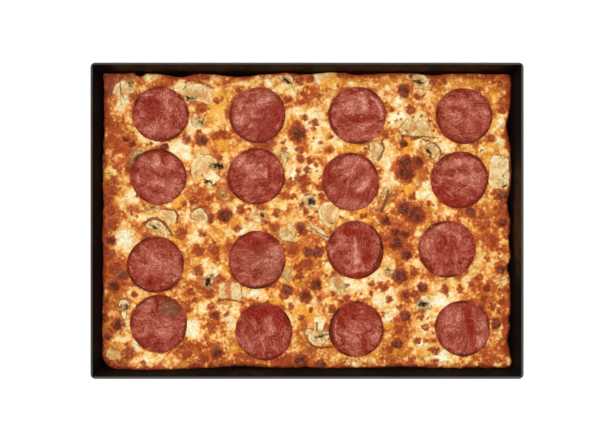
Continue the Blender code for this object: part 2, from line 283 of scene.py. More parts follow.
class NodeBook:
    """The nodes of a material or a world, all made by one method."""

    def __init__(self, owner: bpy.types.ID, shader: str = "Principled BSDF") -> None:
        """Starts with the owner's shader alone.

        Args:
            owner: The new material or world.
            shader: The name of the shader that it starts with.
        """
        owner.use_nodes = True
        self.owner = owner
        self.tree = owner.node_tree
        self.shader = self.tree.nodes[shader]

    def node(self, kind: str, settings: dict, sockets: dict) -> bpy.types.Node:
        """Adds a node, sets it, and fills its sockets.

        Args:
            kind: The node's type.
            settings: Its properties, such as an operation, or a ramp's stops.
            sockets: A value or a Wire for each socket, by name or by number.

        Returns:
            The node.
        """
        made = self.tree.nodes.new(kind)
        for name, value in settings.items():
            if name == "stops":
                self._set_stops(made.color_ramp, value)
            else:
                setattr(made, name, value)
        for key, value in sockets.items():
            if isinstance(value, Wire):
                self.tree.links.new(value.socket, made.inputs[key])
            else:
                made.inputs[key].default_value = value
        return made

    @staticmethod
    def _set_stops(colours: bpy.types.ColorRamp, stops: tuple) -> None:
        """Gives a ramp its stops, each a position and a colour."""
        while len(colours.elements) < len(stops):
            colours.elements.new(0.5)
        for element, (position, _) in zip(colours.elements, stops):
            element.position = position
        for element, (position, colour) in zip(colours.elements, stops):
            element.position = position
            element.color = (*colour, 1.0)

    def wire(self, kind: str, settings: dict, sockets: dict, output: int | str = 0) -> Wire:
        """Adds a node and gives one of its outputs."""
        return Wire(self, self.node(kind, settings, sockets).outputs[output])

    def places(self) -> Wire:
        """The object's own coordinates, in metres."""
        return self.wire("ShaderNodeTexCoord", {}, {}, "Object")

    def layer(self, name: str, vector: bool = False) -> Wire:
        """A value, or a vector, that the mesh stores at its vertices."""
        return self.wire("ShaderNodeAttribute", {"attribute_name": name}, {}, "Vector" if vector else "Fac")

    def grain(
        self, where: Wire, size: float, detail: float = 3.0, rough: float = 0.5, warp: float = 0.0
    ) -> Wire:
        """Noise from 0 to 1 around a half.

        Args:
            where: The coordinates that it reads.
            size: The size of its features, in metres.
            detail: How many finer layers it has.
            rough: How strong the finer layers are.
            warp: How much it twists.

        Returns:
            The noise.
        """
        sockets = {"Vector": where, "Scale": 1 / size, "Detail": detail, "Roughness": rough}
        sockets["Distortion"] = warp
        return self.wire("ShaderNodeTexNoise", {}, sockets)

    def cells(self, where: Wire, size: float, twist: float) -> Wire:
        """How far a place is from the nearest of scattered points: 0 there, about 1 between them.

        Args:
            where: The coordinates that it reads.
            size: The distance between the points, in metres.
            twist: How far the cells are bent out of shape, in metres.

        Returns:
            The distance.
        """
        sockets = {"Vector": where, "Scale": 0.8 / size, "Detail": 2.0}
        swirl = self.wire("ShaderNodeTexNoise", {}, sockets, "Color")
        bend = {0: swirl, 1: (twist, twist, twist), 2: where}
        bent = self.wire("ShaderNodeVectorMath", {"operation": "MULTIPLY_ADD"}, bend)
        sockets = {"Vector": bent, "Scale": 1 / size, "Smoothness": 0.35}
        return self.wire("ShaderNodeTexVoronoi", {"feature": "SMOOTH_F1"}, sockets)

    def colours(self, factor: Wire, stops: tuple) -> Wire:
        """A colour from a ramp's stops."""
        return self.wire("ShaderNodeValToRGB", {"stops": stops}, {0: factor})

    def blend(self, factor: Wire | float, under: object, over: object) -> Wire:
        """Mixes two colours.

        Args:
            factor: How much of the second shows.
            under: The first colour or Wire.
            over: The second colour or Wire.

        Returns:
            The mixed colour.
        """
        first = under if isinstance(under, Wire) else (*under, 1.0)
        second = over if isinstance(over, Wire) else (*over, 1.0)
        settings = {"data_type": "RGBA", "blend_type": "MIX", "clamp_factor": True}
        return self.wire("ShaderNodeMix", settings, {0: factor, 6: first, 7: second}, 2)

    def finish(self, bump: Wire | None = None, depth: float = 0.0, **sockets: object) -> bpy.types.ID:
        """Sets the shader's sockets and gives the material or world.

        Args:
            bump: The height that its fine relief follows, from 0 to 1.
            depth: How high that relief is, in metres.
            sockets: A value or a Wire for each socket, with _ for each space.

        Returns:
            The material or world.
        """
        if bump is not None:
            relief = {"Strength": 1.0, "Distance": depth, "Height": bump}
            sockets["Normal"] = self.wire("ShaderNodeBump", {}, relief)
        for name, value in sockets.items():
            socket = self.shader.inputs[name.replace("_", " ")]
            if isinstance(value, Wire):
                self.tree.links.new(value.socket, socket)
            elif isinstance(value, tuple):
                socket.default_value = (*value, 1.0)
            else:
                socket.default_value = value
        return self.owner


# The shapes of the pan and of the pizza in it


class Side(Enum):
    """A side of the pan, as the photograph shows it."""

    TOP = "top"
    RIGHT = "right"
    BOTTOM = "bottom"
    LEFT = "left"


class Dip(NamedTuple):
    """Where the pizza's rim draws back from the wall, in pixels."""

    side: Side
    middle: float
    depth: float
    width: float


class Climb(NamedTuple):
    """Where the cheese has climbed the wall: pixels along it, and a height in metres."""

    side: Side
    middle: float
    width: float
    height: float


@dataclass(frozen=True)
class PanShape:
    """The pan's sizes: one steel sheet with its top edge folded outwards into a hem."""

    length: float = 375 * MM
    width: float = 274 * MM
    depth: float = 51 * MM
    sheet: float = 1.2 * MM
    hem_width: float = 2.4 * MM
    hem_height: float = 7 * MM
    lean: float = math.radians(8.5)
    corner: float = 3 * MM
    foot: float = 3 * MM

    def inner_halves(self, z: float | np.ndarray) -> tuple:
        """Half of the inner length and of the inner width at a height."""
        lean = (self.depth - z) * math.tan(self.lean)
        return self.length / 2 - self.hem_width - lean, self.width / 2 - self.hem_width - lean


@dataclass(frozen=True)
class PizzaShape:
    """The outline and the levels that the dough, the cheese and the toppings share."""

    pan: PanShape = PanShape()
    crust_bottom: float = 1.6 * MM
    crust_top: float = 23 * MM
    crust_margin: float = 0.6 * MM
    cheese_bottom: float = 23.3 * MM
    cheese_level: float = 27.3 * MM
    edge_drop: float = 1.7 * MM
    edge_rise: float = 1.3 * MM
    edge_reach: float = 7 * MM
    waves: tuple = ((0.7 * MM, 42 * MM), (0.45 * MM, 15 * MM))
    dips: tuple = (
        Dip(Side.TOP, 140, 3.0, 4),
        Dip(Side.TOP, 178, 3.4, 13),
        Dip(Side.TOP, 238, 3.6, 22),
        Dip(Side.TOP, 306, 1.2, 9),
        Dip(Side.TOP, 362, 1.2, 16),
        Dip(Side.TOP, 430, 1.6, 14),
        Dip(Side.RIGHT, 124, 3.8, 13),
        Dip(Side.RIGHT, 203, 2.8, 13),
        Dip(Side.RIGHT, 238, 2.2, 10),
        Dip(Side.RIGHT, 268, 3.2, 7),
        Dip(Side.RIGHT, 318, 1.2, 8),
        Dip(Side.RIGHT, 342, 3.2, 11),
        Dip(Side.BOTTOM, 245, 2.2, 26),
        Dip(Side.BOTTOM, 306, 1.2, 12),
        Dip(Side.BOTTOM, 400, 1.4, 26),
        Dip(Side.LEFT, 110, 0.8, 60),
    )
    climbs: tuple = (
        Climb(Side.BOTTOM, 152, 32, 5.0 * MM),
        Climb(Side.TOP, 337, 12, 1.8 * MM),
        Climb(Side.TOP, 285, 12, 1.2 * MM),
    )
    top_left: float = 3.0
    top_right: float = 3.0
    bottom_right: float = 4.0
    bottom_left: float = 15.0

    def dip(self, side: Side, along: np.ndarray) -> np.ndarray:
        """How far the rim lies back from a wall, in metres.

        Args:
            side: The wall.
            along: The places along it, in pixels of the photograph.

        Returns:
            One distance a place.
        """
        total = np.zeros_like(along)
        for item in self.dips:
            if item.side is side:
                total += item.depth * np.exp(-(((along - item.middle) / item.width) ** 2))
        return total * PIXEL

    def climb(self, x: np.ndarray, y: np.ndarray) -> np.ndarray:
        """How far the cheese stands up near a wall that it has climbed."""
        half_y = self.pan.inner_halves(self.cheese_level)[1]
        raised = np.zeros_like(x)
        for item in self.climbs:
            away = half_y - y if item.side is Side.TOP else half_y + y
            along = PHOTO_MIDDLE[0] + x / PIXEL - item.middle
            swell = np.exp(-((along / item.width) ** 2) - np.maximum(away, 0) / self.edge_reach)
            raised += item.height * swell
        return raised

    def plan(self, u: np.ndarray, v: np.ndarray, z: np.ndarray, margin: np.ndarray) -> tuple:
        """Where points of the unit square lie in the pizza's wavy outline.

        Args:
            u: From -1 to 1 along the long side.
            v: From -1 to 1 along the short side.
            z: The points' heights.
            margin: How far the outline stays from the wall.

        Returns:
            The points' x and y.
        """
        half_x, half_y = self.pan.inner_halves(z)
        down = PHOTO_MIDDLE[1] - v * half_y / PIXEL
        across = PHOTO_MIDDLE[0] + u * half_x / PIXEL
        side_x = half_x - margin - np.where(u > 0, self.dip(Side.RIGHT, down), self.dip(Side.LEFT, down))
        side_y = half_y - margin - np.where(v > 0, self.dip(Side.TOP, across), self.dip(Side.BOTTOM, across))
        x, y = np.abs(u) * side_x, np.abs(v) * side_y
        on_top = np.where(u > 0, self.top_right, self.top_left)
        on_bottom = np.where(u > 0, self.bottom_right, self.bottom_left)
        radius = np.where(v > 0, on_top, on_bottom) * PIXEL
        in_x, in_y = x - (side_x - radius), y - (side_y - radius)
        rounded = (in_x > 0) & (in_y > 0)
        pull = np.maximum(in_x, in_y) / np.maximum(np.hypot(in_x, in_y), 1e-9)
        x = np.where(rounded, side_x - radius + in_x * pull, x)
        y = np.where(rounded, side_y - radius + in_y * pull, y)
        return np.copysign(x, u), np.copysign(y, v)

    def cheese_height(self, x: np.ndarray, y: np.ndarray) -> np.ndarray:
        """Height of the cheese before anything lies in it."""
        half_x, half_y = self.pan.inner_halves(self.cheese_level)
        to_wall = np.maximum(np.minimum(half_x - np.abs(x), half_y - np.abs(y)), 0)
        height = self.cheese_level + self.edge_rise * np.exp(-to_wall / self.edge_reach) + self.climb(x, y)
        for layer, (rise, length) in enumerate(self.waves):
            swell = (noise.noise(Vector((a / length, b / length, 3.7 * layer))) for a, b in zip(x, y))
            height = height + rise * np.fromiter(swell, dtype=float, count=len(x))
        return height

    def resting(
        self, x: float, y: float, turn: float, sunk: float, tilt: float, rng: random.Random
    ) -> Matrix:
        """Where a topping lies, pressed into the cheese and a little askew.

        Args:
            x: Metres along the long side.
            y: Metres along the short side.
            turn: Degrees round the upright axis.
            sunk: How deep it is pressed in.
            tilt: The most degrees that it leans.
            rng: The random numbers that lean it.

        Returns:
            The topping's matrix.
        """
        lean = Matrix.Rotation(math.radians(rng.uniform(-tilt, tilt)), 4, "X")
        lean @= Matrix.Rotation(math.radians(rng.uniform(-tilt, tilt)), 4, "Y")
        height = float(self.cheese_height(np.array([x]), np.array([y]))[0])
        place = Matrix.Translation((x, y, height - sunk))
        return place @ lean @ Matrix.Rotation(math.radians(turn), 4, "Z")


SHAPE = PizzaShape()


# What lies on the cheese, in pixels of the photograph


class Patch(NamedTuple):
    """A soft oval: middle, half length, half width, turn in degrees and strength."""

    x: float
    y: float
    long: float
    short: float
    turn: float = 0.0
    strength: float = 1.0


class Stroke(NamedTuple):
    """A soft line: half width, strength and the points that it runs through."""

    half: float
    strength: float
    points: tuple


class Disc(NamedTuple):
    """A pepperoni slice: row and column, middle, radius and the way its grain runs."""

    name: str
    x: float
    y: float
    radius: float
    turn: float


class Form(Enum):
    """The part of a mushroom that a slice shows."""

    WHOLE = "cap and stem"
    CAP = "cap alone"
    STRIP = "a piece cut on every side"


class Slice(NamedTuple):
    """A mushroom slice: middle, width and length, the way the dome points, and how toasted."""

    form: Form
    x: float
    y: float
    width: float
    length: float
    turn: float
    toast: float = 0.0
    olive: float = 0.0


def patches(*rows: tuple) -> tuple:
    """Soft ovals from rows of a Patch's values."""
    return tuple(Patch(*row) for row in rows)


def strokes(*rows: tuple) -> tuple:
    """Soft lines from rows of half width, strength and points."""
    return tuple(Stroke(half, strength, tuple(points)) for half, strength, *points in rows)


DISCS = (
    Disc("11", 160.7, 114.2, 27.6, 75),
    Disc("12", 257.6, 115.1, 27.7, 30),
    Disc("13", 357.0, 115.4, 28.3, 8),
    Disc("14", 463.7, 116.0, 27.7, -6),
    Disc("21", 158.5, 176.5, 27.7, -28),
    Disc("22", 256.2, 176.3, 28.0, 20),
    Disc("23", 350.6, 181.5, 28.5, 55),
    Disc("24", 459.2, 179.8, 28.3, -15),
    Disc("31", 155.7, 264.4, 28.0, -35),
    Disc("32", 256.8, 259.8, 28.4, 5),
    Disc("33", 355.2, 249.7, 28.5, 88),
    Disc("34", 446.7, 248.7, 28.2, -70),
    Disc("41", 158.9, 323.5, 28.4, 15),
    Disc("42", 264.2, 331.2, 28.2, 100),
    Disc("43", 356.0, 329.0, 27.4, -30),
    Disc("44", 462.3, 328.0, 27.4, 95),
)

SLICES = (
    Slice(Form.CAP, 197, 93, 35, 19, 80),
    Slice(Form.WHOLE, 124, 93, 23, 24, 98, 0.15, 0.2),
    Slice(Form.CAP, 197, 122, 16, 11, 225, 0.1),
    Slice(Form.CAP, 138, 155, 14, 8, 120, 0.1, 0.9),
    Slice(Form.WHOLE, 206, 170, 31, 33, 128, 0.1),
    Slice(Form.CAP, 170, 215, 19, 15, 45, 0.15),
    Slice(Form.CAP, 158, 227, 26, 13, 55, 0.05, 0.15),
    Slice(Form.CAP, 199, 215, 18, 14, 95, 0.1, 0.2),
    Slice(Form.CAP, 153, 209, 11, 6, 80, 0.45, 0.5),
    Slice(Form.CAP, 224, 194, 9, 6, 60, 0.4, 0.7),
    Slice(Form.CAP, 289, 80, 15, 9, 45, 0.25),
    Slice(Form.CAP, 285, 156, 11, 8, 40, 0.3, 0.8),
    Slice(Form.CAP, 375, 150, 22, 14, 0, 0.15, 0.3),
    Slice(Form.CAP, 422, 82, 20, 14, 30, 0.05, 0.1),
    Slice(Form.CAP, 416, 127, 34, 20, 80, 0.2, 0.35),
    Slice(Form.CAP, 433, 150, 20, 15, 50, 0.1, 0.2),
    Slice(Form.STRIP, 499, 172, 20, 33, 90, 0.1, 0.1),
    Slice(Form.CAP, 257, 214, 17, 11, 90, 0.3, 0.2),
    Slice(Form.CAP, 308, 200, 14, 11, 130, 0.2, 0.2),
    Slice(Form.CAP, 327, 212, 25, 18, 155, 0.1, 0.1),
    Slice(Form.WHOLE, 288, 231, 18, 21, 250, 0.1, 0.5),
    Slice(Form.STRIP, 319, 231, 6, 25, 145, 0.2, 0.1),
    Slice(Form.STRIP, 384, 198, 8, 22, 65, 0.7, 0.7),
    Slice(Form.WHOLE, 124, 309, 12, 20, 92, 0.1, 0.2),
    Slice(Form.CAP, 210, 281, 13, 8, 310, 0.4, 0.7),
    Slice(Form.STRIP, 231, 291, 23, 18, 90, 0.1, 0.1),
    Slice(Form.CAP, 113.5, 353, 18, 15, 200, 0.2),
    Slice(Form.WHOLE, 318, 332, 27, 28, 262, 0.1, 0.15),
    Slice(Form.CAP, 339, 284, 20, 12, 30, 0.3, 0.7),
    Slice(Form.STRIP, 287, 274, 5, 10, 75, 0.4, 0.9),
    Slice(Form.CAP, 424, 303, 17, 14, 80, 0.15, 0.4),
    Slice(Form.CAP, 388, 271, 8, 6, 150, 0.4, 0.9),
    Slice(Form.STRIP, 499, 279, 4, 14, 12, 0.4),
)

# Gills, and painted shade: the dark clefts beside the mushrooms
GILLS_AND_CLEFT_SHADE = patches(
    (190, 98.8, 6, 2.0, -4), (130.6, 84.5, 2.4, 3.6, 10, 0.9), (201, 121, 4.2, 2.2, -45, 0.8),
    (138, 157, 6, 2.6, 42, 0.9), (217.5, 166.2, 7.5, 2.6, -16), (210, 181.7, 4, 1.5, -10),
    (154, 226.5, 6.5, 2.6, -18, 0.8), (201.5, 211.8, 5.6, 1.4, 4, 0.6), (152.6, 207.8, 4, 1.6, 0, 0.6),
    (224, 194, 3, 1.4, 20, 0.6), (287, 81.5, 5.4, 1.5, -48, 1.2), (282.5, 157, 3.6, 2.2, 60, 0.5),
    (366, 148.5, 3.4, 1.5, 35, 0.7), (419.2, 82.2, 4.8, 2.4, -14), (406, 131.2, 4.5, 2.4, 20, 0.55),
    (429, 153, 2.3, 4.8, 28), (262, 215.5, 2.2, 2, 0, 0.9), (311.5, 201.2, 3.2, 3.2, 0, 1.1),
    (332, 223.5, 2.4, 1.5, 30, 0.8), (126, 307, 3.4, 3.8, 10, 0.9), (209, 281, 5.8, 2.0, 62, 1.1),
    (322, 336, 7.8, 2.4, 14, 0.9), (422, 304, 5.4, 2.8, 18, 1.1), (388, 271, 2.8, 2.6, 0, 0.8),
    (503.7, 176.3, 1.2, 1.2, 0, 1.0), (504.5, 185.6, 1.5, 1.5, 0, 1.2), (138, 74.5, 4.2, 1.6, 0, 1.2),
    (228, 322.7, 1.6, 1.4, 0, 0.8),
)
# Wider ovals round the gills and clefts: on the mushrooms the flesh's own grey, on the cheese a painted shade
# halo
GILL_GREY_AND_SHADE_HALOS = tuple(gill._replace(long=gill.long * 1.4, short=gill.short * 1.9) for gill in GILLS_AND_CLEFT_SHADE)

# Brown lines where a cap's skin or a slice's edge shows: half width, strength and points
EDGES = strokes(
    (0.8, 0.6, (198.4, 158.6), (203.5, 156), (210.5, 154)),
    (0.7, 0.5, (187, 166), (184.6, 174), (185.5, 184)),
    (0.8, 0.9, (205, 179.7), (210.7, 182), (213, 186), (219.5, 183.5)),
    (1.0, 0.8, (185.6, 82.1), (192.8, 80.4), (200.6, 82.1), (208.3, 84.9), (213.3, 88.2)),
    (0.7, 0.4, (408.5, 113.3), (405, 121), (400.7, 126.7)),
    (0.9, 0.6, (430.7, 120), (435, 126.7), (432.9, 132)),
    (0.8, 0.9, (401, 137.6), (408, 136.4), (417.9, 136.7), (426.2, 136.7), (437.3, 137.8)),
    (0.8, 0.7, (411.1, 87.8), (420, 88.3), (427.8, 90), (432.2, 88.9)),
    (0.9, 1.0, (307.1, 335), (308.2, 340.6), (312.7, 345.6), (320.4, 347.2), (331.6, 347.2)),
    (0.9, 1.0, (411, 138.6), (419.9, 138), (423.2, 139.7), (429.9, 141.3), (436.6, 145.2), (439.9, 149.7),
     (440.4, 154.1)),
    (0.7, 0.6, (426.6, 143.5), (434, 146.5), (438.5, 151)),
    (0.8, 0.8, (426.6, 149.7), (428.8, 155.2), (432.1, 159.1)),
    (0.7, 0.5, (476, 155.8), (490, 154.6), (505, 155.3)),
    (0.9, 1.0, (165.8, 208.9), (174.7, 210), (178.6, 215), (176.9, 223.9)),
    (1.5, 1.0, (144.7, 223.9), (149.1, 218.9), (156.9, 217.8), (163.6, 221.7), (169.1, 229.4),
     (172.4, 235)),
    (0.9, 0.8, (194.7, 209.2), (200.2, 207), (206.9, 207)),
    (0.7, 0.6, (192.4, 209.2), (190.8, 215.9), (193.6, 219.2)),
    (0.7, 0.9, (120.3, 79.3), (120.3, 87.1), (123.1, 98.2)),
    (0.8, 0.6, (129.5, 98), (132.5, 94), (137, 92.5)),
    (0.9, 0.8, (308, 225), (316, 230.5), (323.7, 236), (327.6, 236.8)),
    (1.6, 1.0, (388, 191), (386.9, 197), (385.9, 201), (381.4, 211)),
    (0.8, 0.7, (384, 187), (380, 196), (378.4, 204)),
    (0.8, 0.8, (121.4, 303.1), (119.8, 310.9), (124.2, 320.9)),
    (1.1, 0.9, (219, 300.7), (224.5, 298.6), (230.1, 299), (235.7, 300.7), (242.3, 301.2)),
    (0.7, 0.6, (241, 285), (241.8, 293), (241.6, 300)),
    (0.8, 0.7, (106.4, 342.7), (114.2, 348.2), (122, 350.4)),
    (1.2, 0.8, (117.8, 358.6), (119, 362)),
    (1.0, 1.0, (381.9, 139.7), (383.6, 147.4), (381.9, 154.1), (377.4, 160.8)),
    (0.9, 0.9, (305, 195.2), (310.4, 193.6), (315.4, 195.2)),
    (1.4, 0.7, (299.5, 204.4), (303.5, 203)),
    (0.9, 0.5, (247.2, 209.2), (256.1, 207.6), (263.9, 210.3), (266.1, 213.7)),
    (0.8, 0.5, (278, 237), (288, 242.5), (298, 241)),
    (1.6, 0.8, (316.6, 322.4), (317.2, 329.5)),
    (0.7, 0.7, (181, 286), (191, 289.5), (199, 292.4)),
    (0.8, 0.6, (174, 299), (186, 302.5), (197, 301.5)),
    (0.7, 0.5, (283, 259), (292, 263), (300, 266.5)),
    (0.8, 0.6, (204.5, 84), (207.5, 75), (204, 70)),
    (0.8, 0.8, (170, 76), (173, 84), (174.2, 89)),
)

# Browned and tan parts of the mushrooms
TOASTED = patches((228.4, 289, 3.2, 16, 5, 1.2))
TANNED = patches(
    (231, 291, 18, 14, 0, 0.55), (112, 353, 18, 16, 0, 1.0), (318, 229, 12, 12, 0, 0.5),
    (499, 172, 14, 22, 0, 0.4), (288, 229, 12, 12, 0, 0.6),
)

# Browned blisters: middle and radius, the charred ones first
CHARRED = (
    (125.2, 139.4, 3.5), (131.5, 143.9, 4), (201.3, 140.3, 6), (164, 146.6, 4), (297.5, 133, 8.5),
    (403.7, 90.9, 6.5), (403.2, 143, 4), (416.9, 162.6, 6), (404, 162, 7), (405.8, 172, 9),
    (224.8, 214.8, 7), (210.3, 218.4, 4), (111.6, 239.3, 5), (300.2, 227.5, 5), (307.5, 252, 5),
    (316.5, 252, 5.5), (404, 208, 7), (415, 214.5, 9.5), (385.1, 220.3, 5), (395.6, 231.1, 5),
    (470.3, 212.1, 5.5), (500.6, 196.7, 5.5), (501.5, 222.1, 5.5), (381.1, 208.5, 2.5), (114.3, 285.5, 6),
    (122.5, 273.8, 6), (118.8, 324.5, 6), (214.8, 315.4, 5), (216.7, 352.6, 6), (315.6, 283.7, 6.5),
    (286.6, 289.2, 5.5), (305.7, 295.5, 6), (302, 359.8, 7), (319.2, 364.4, 6), (400.1, 275.6, 7),
    (422.7, 286.5, 5), (405.5, 294.6, 5), (487, 287.4, 4), (495.2, 323.6, 5), (404.6, 316.4, 5),
    (396.5, 343.5, 5), (500.6, 269.2, 5), (421.8, 132.1, 1.8), (403.2, 134.8, 1.8), (108, 335.4, 4),
    (393.5, 276, 3.5), (397, 244, 7), (404, 234, 5), (405.5, 255, 6),
)
BROWNED = (
    (117.5, 145.7, 3), (216.7, 100.4, 3.5), (186.8, 139.4, 4), (215, 136.5, 4.5), (222, 134.5, 5),
    (219.4, 157.5, 3), (203, 109.5, 3), (288.4, 99.5, 3.5), (301.6, 101.8, 3.5), (304.7, 117.2, 3),
    (314.7, 122.2, 3.5), (296.6, 124, 4), (299.8, 149.3, 3.5), (300.2, 158.4, 4), (309.3, 160.2, 3),
    (316.5, 163.8, 2), (320.6, 142.5, 2), (312.9, 129.4, 2.5), (329.2, 150.2, 3.5), (331, 136.7, 2.5),
    (284.4, 150.2, 2.5), (418.6, 96.3, 3.5), (410, 109.5, 4), (391.5, 109.5, 2.5), (411.9, 75, 3),
    (442.7, 81.4, 4), (498.8, 83.2, 4), (501.5, 110.4, 4), (430, 121.3, 2), (384.7, 134.8, 4),
    (490.7, 138.5, 4), (194.9, 200.3, 5), (183.6, 203.9, 3), (210.3, 197.6, 4), (181.3, 233.8, 5),
    (198.5, 250.1, 6), (213.9, 249.2, 6), (217.6, 257.4, 3), (203, 233.8, 3.5), (131.5, 212.1, 2),
    (113.4, 190.4, 5), (111.6, 210.3, 5), (112.5, 223, 6), (301.1, 178.6, 5), (308.4, 181.3, 4),
    (291.2, 180.4, 2.5), (303.8, 187.6, 4), (319.2, 186.7, 4), (321.9, 196.7, 3.5), (302, 204.9, 3.5),
    (298.4, 169.5, 3), (307.5, 169.5, 3.5), (288.4, 187.6, 2), (283.9, 194.9, 2.5), (293.9, 195.8, 3),
    (276.7, 213.5, 4), (306.6, 210.3, 3), (310.2, 218.4, 3), (316.5, 210.7, 2), (363.6, 215.7, 3),
    (240.4, 208.5, 4), (237.7, 227.5, 4), (246.8, 219.3, 2), (264, 220.3, 3), (275.8, 228.4, 4),
    (303.8, 232, 4), (293, 250.1, 5), (411.9, 195.8, 4), (387.4, 237.5, 4), (494.3, 207.6, 3),
    (482.5, 227.5, 3.5), (428.2, 203.9, 3), (115.2, 267.4, 7), (135.1, 293.7, 3), (198.5, 271.1, 5),
    (220.3, 279.2, 4), (190.4, 291, 4), (193.6, 300, 2.5), (188.6, 310, 3), (227.1, 314.1, 3),
    (211.2, 306.4, 3), (186.8, 353.5, 5), (204, 358, 5), (182.2, 346.2, 3), (128.8, 352.6, 6),
    (144.2, 362.5, 3), (210.3, 293.7, 4.5), (299.3, 275.6, 4), (292.1, 306.4, 2.5), (285.7, 298.2, 2),
    (332.8, 275.6, 3.5), (337.4, 281, 2), (346.4, 285.5, 2), (332.8, 293.2, 3), (370.9, 282.8, 2.5),
    (370.9, 292.8, 2), (347.3, 297.8, 4), (341, 300, 3), (331.9, 309.1, 4), (302, 318.2, 3),
    (317.4, 325.4, 3.5), (309.3, 331.7, 3), (306.6, 263.8, 6), (298.4, 267.4, 4), (319.2, 299.1, 3),
    (310.2, 310, 2), (414.6, 272, 4), (382.9, 286.5, 4), (413.7, 293.7, 4), (389.2, 299.1, 3),
    (444.5, 290, 4), (459.9, 289.2, 3), (471.2, 284.2, 3), (478.9, 277.4, 3), (483.4, 297.3, 4),
    (501.5, 301, 4), (491.6, 306.4, 4), (498.8, 310.9, 3), (398.3, 328.1, 4.5), (406.4, 335.4, 2.5),
    (426.3, 326.3, 3.5), (432.2, 332.2, 2), (420.9, 316.4, 3), (417.3, 339.9, 3), (426.3, 340.8, 2),
    (434.5, 339.9, 2.5), (389.2, 348.1, 4), (434.5, 349.9, 4), (434.5, 362.5, 4.5), (422.7, 310.9, 2),
    (399.2, 307.3, 3), (300.2, 81.4, 3.5), (310.2, 79.6, 4), (341.9, 75, 3.5), (206, 77, 4),
)

# Cheese that has stayed pale
PALE = patches(
    (329, 158, 8, 8, 0, 0.7), (311, 301, 9, 8, 0, 0.7), (437, 284, 9, 7, 0, 0.7), (293, 303, 8, 8, 0, 0.7),
    (275, 211, 9, 8, 0, 0.7), (326, 103, 6, 9, 0, 0.8), (293, 319, 8, 8, 0, 0.6), (221, 338, 9, 8, 0, 0.6),
    (276, 86, 9, 8, 0, 0.6), (489, 192, 8, 8, 0, 0.5), (455, 283, 9, 6, 0, 0.5), (384, 318, 5, 8, 0, 0.6),
    (121, 95, 8, 12, 5), (154, 79, 10, 4), (177, 88, 5, 5), (190, 131, 4, 9, -15),
    (178, 149, 11, 9, 0, 1.2), (186, 159, 6, 4), (218, 115, 5, 8, 0, 0.7), (124, 181, 6, 8),
    (134, 194, 8, 8, 0, 1.2), (109, 172, 4, 8, 0, 0.8), (138, 217, 12, 6, 0, 1.2), (268, 79, 15, 6, 0, 0.9),
    (290, 88, 14, 6, 0, 1.1), (299, 114, 6, 6), (279, 146, 5, 8, 0, 0.7), (294, 153, 9, 9, 0, 0.8),
    (296, 170, 10, 8, 0, 0.6), (250, 85, 9, 3, 0, 0.6), (195, 125, 7, 5), (148, 140, 16, 3.5, -28, 0.9),
    (321, 77, 12, 4), (312, 120, 9, 17, 0, 1.1), (379, 97, 6, 5, 0, 0.6), (396, 100, 7, 4, 0, 0.9),
    (399, 118, 10, 7, 0, 1.1), (499, 122, 6, 9, 0, 1.2), (501, 141, 5, 6), (446, 146, 10, 8, 0, 1.1),
    (430, 181, 6, 7, 30, 1.1), (388, 160, 6, 14, 0, 0.8), (389, 180, 6, 14, 0, 0.6),
    (334, 142, 8, 6, 0, 0.7), (313, 169, 9, 9, 0, 0.6), (424, 194, 10, 6, 0, 0.8),
    (320, 140, 10, 14, 0, 0.7), (129, 245, 11, 15, 15, 1.25), (199, 237, 8, 7, 0, 0.5), (206, 262, 9, 5),
    (216, 271, 10, 5, 0, 0.9), (254, 294, 13, 6, 0, 0.9), (134, 294, 10, 5, 0, 0.8),
    (128, 330, 5, 12, 0, 0.9), (192, 326, 5, 10, -10, 1.4), (202, 305, 9, 5, 0, 0.9),
    (231, 314, 9, 15, 0, 1.0), (121, 337, 10, 4, 0, 0.7), (136, 346, 5, 5), (147, 359, 16, 6, 0, 0.9),
    (291, 237, 8, 6, 0, 0.5), (391, 257, 6, 8, 0, 0.6), (352, 285, 20, 8, 0, 0.8),
    (387, 301, 10, 11, 0, 1.1), (391, 313, 6, 7, 0, 1.2), (442, 299, 14, 9, 0, 1.0), (430, 316, 8, 9),
    (465, 282, 12, 5, -15, 0.4), (480, 254, 6, 9, -25, 0.8), (426, 347, 11, 9, 0, 0.7),
    (445, 357, 11, 6, 0, 1.0), (360, 362, 28, 5, 0, 0.6), (330, 265, 6, 5, 0, 0.5),
    (375, 275, 8, 8, 0, 0.8), (232, 205, 7, 9, 0, 0.5), (250, 230, 12, 5, 0, 0.5),
    (278, 204, 10, 6, 0, 0.5), (328, 214, 12, 9, 0, 0.6), (405, 120, 14, 8, 0, 0.6),
    (180, 181, 3, 14, 0, 0.5), (470, 200, 10, 3, 0, 0.4), (190, 275, 6, 6, 0, 0.6),
    (410, 262, 6, 5, 0, 0.5),
)

# Pools of yellow oil
OIL = patches(
    (490, 159, 9, 9, 0, 1.0), (222, 97, 8, 9, 0, 0.7), (215, 113, 7, 12, 0, 0.7), (222, 144, 8, 8, 0, 1.0),
    (176, 202, 8, 9, 0, 0.7), (347, 149, 10, 5, 0, 0.7), (407, 147, 4, 8, 0, 0.9), (405, 189, 6, 5, 0, 0.9),
    (489, 149, 8, 6, 0, 0.8), (364, 213, 9, 6, -30, 0.9), (302, 312, 8, 10, 0, 1.2),
    (277, 301, 7, 5, 0, 0.9), (115, 345, 11, 4, 0, 0.6), (310, 314, 6, 9, 0, 1.2),
    (388, 327, 10, 5, 0, 0.7), (427, 352, 12, 6, 0, 0.5), (181, 268, 6, 8, 0, 0.6),
    (178, 243, 8, 8, 0, 0.5), (275, 204, 12, 5, 0, 0.5), (240, 220, 12, 8, 0, 0.5),
    (327, 80, 26, 7, 0, 0.5), (200, 262, 30, 20, 0, 0.3), (370, 350, 50, 10, 0, 0.4),
    (490, 120, 10, 30, 0, 0.3), (480, 84, 22, 5, 0, 0.6), (300, 265, 14, 12, 0, 0.5),
    (240, 348, 14, 8, 0, 0.5),
)

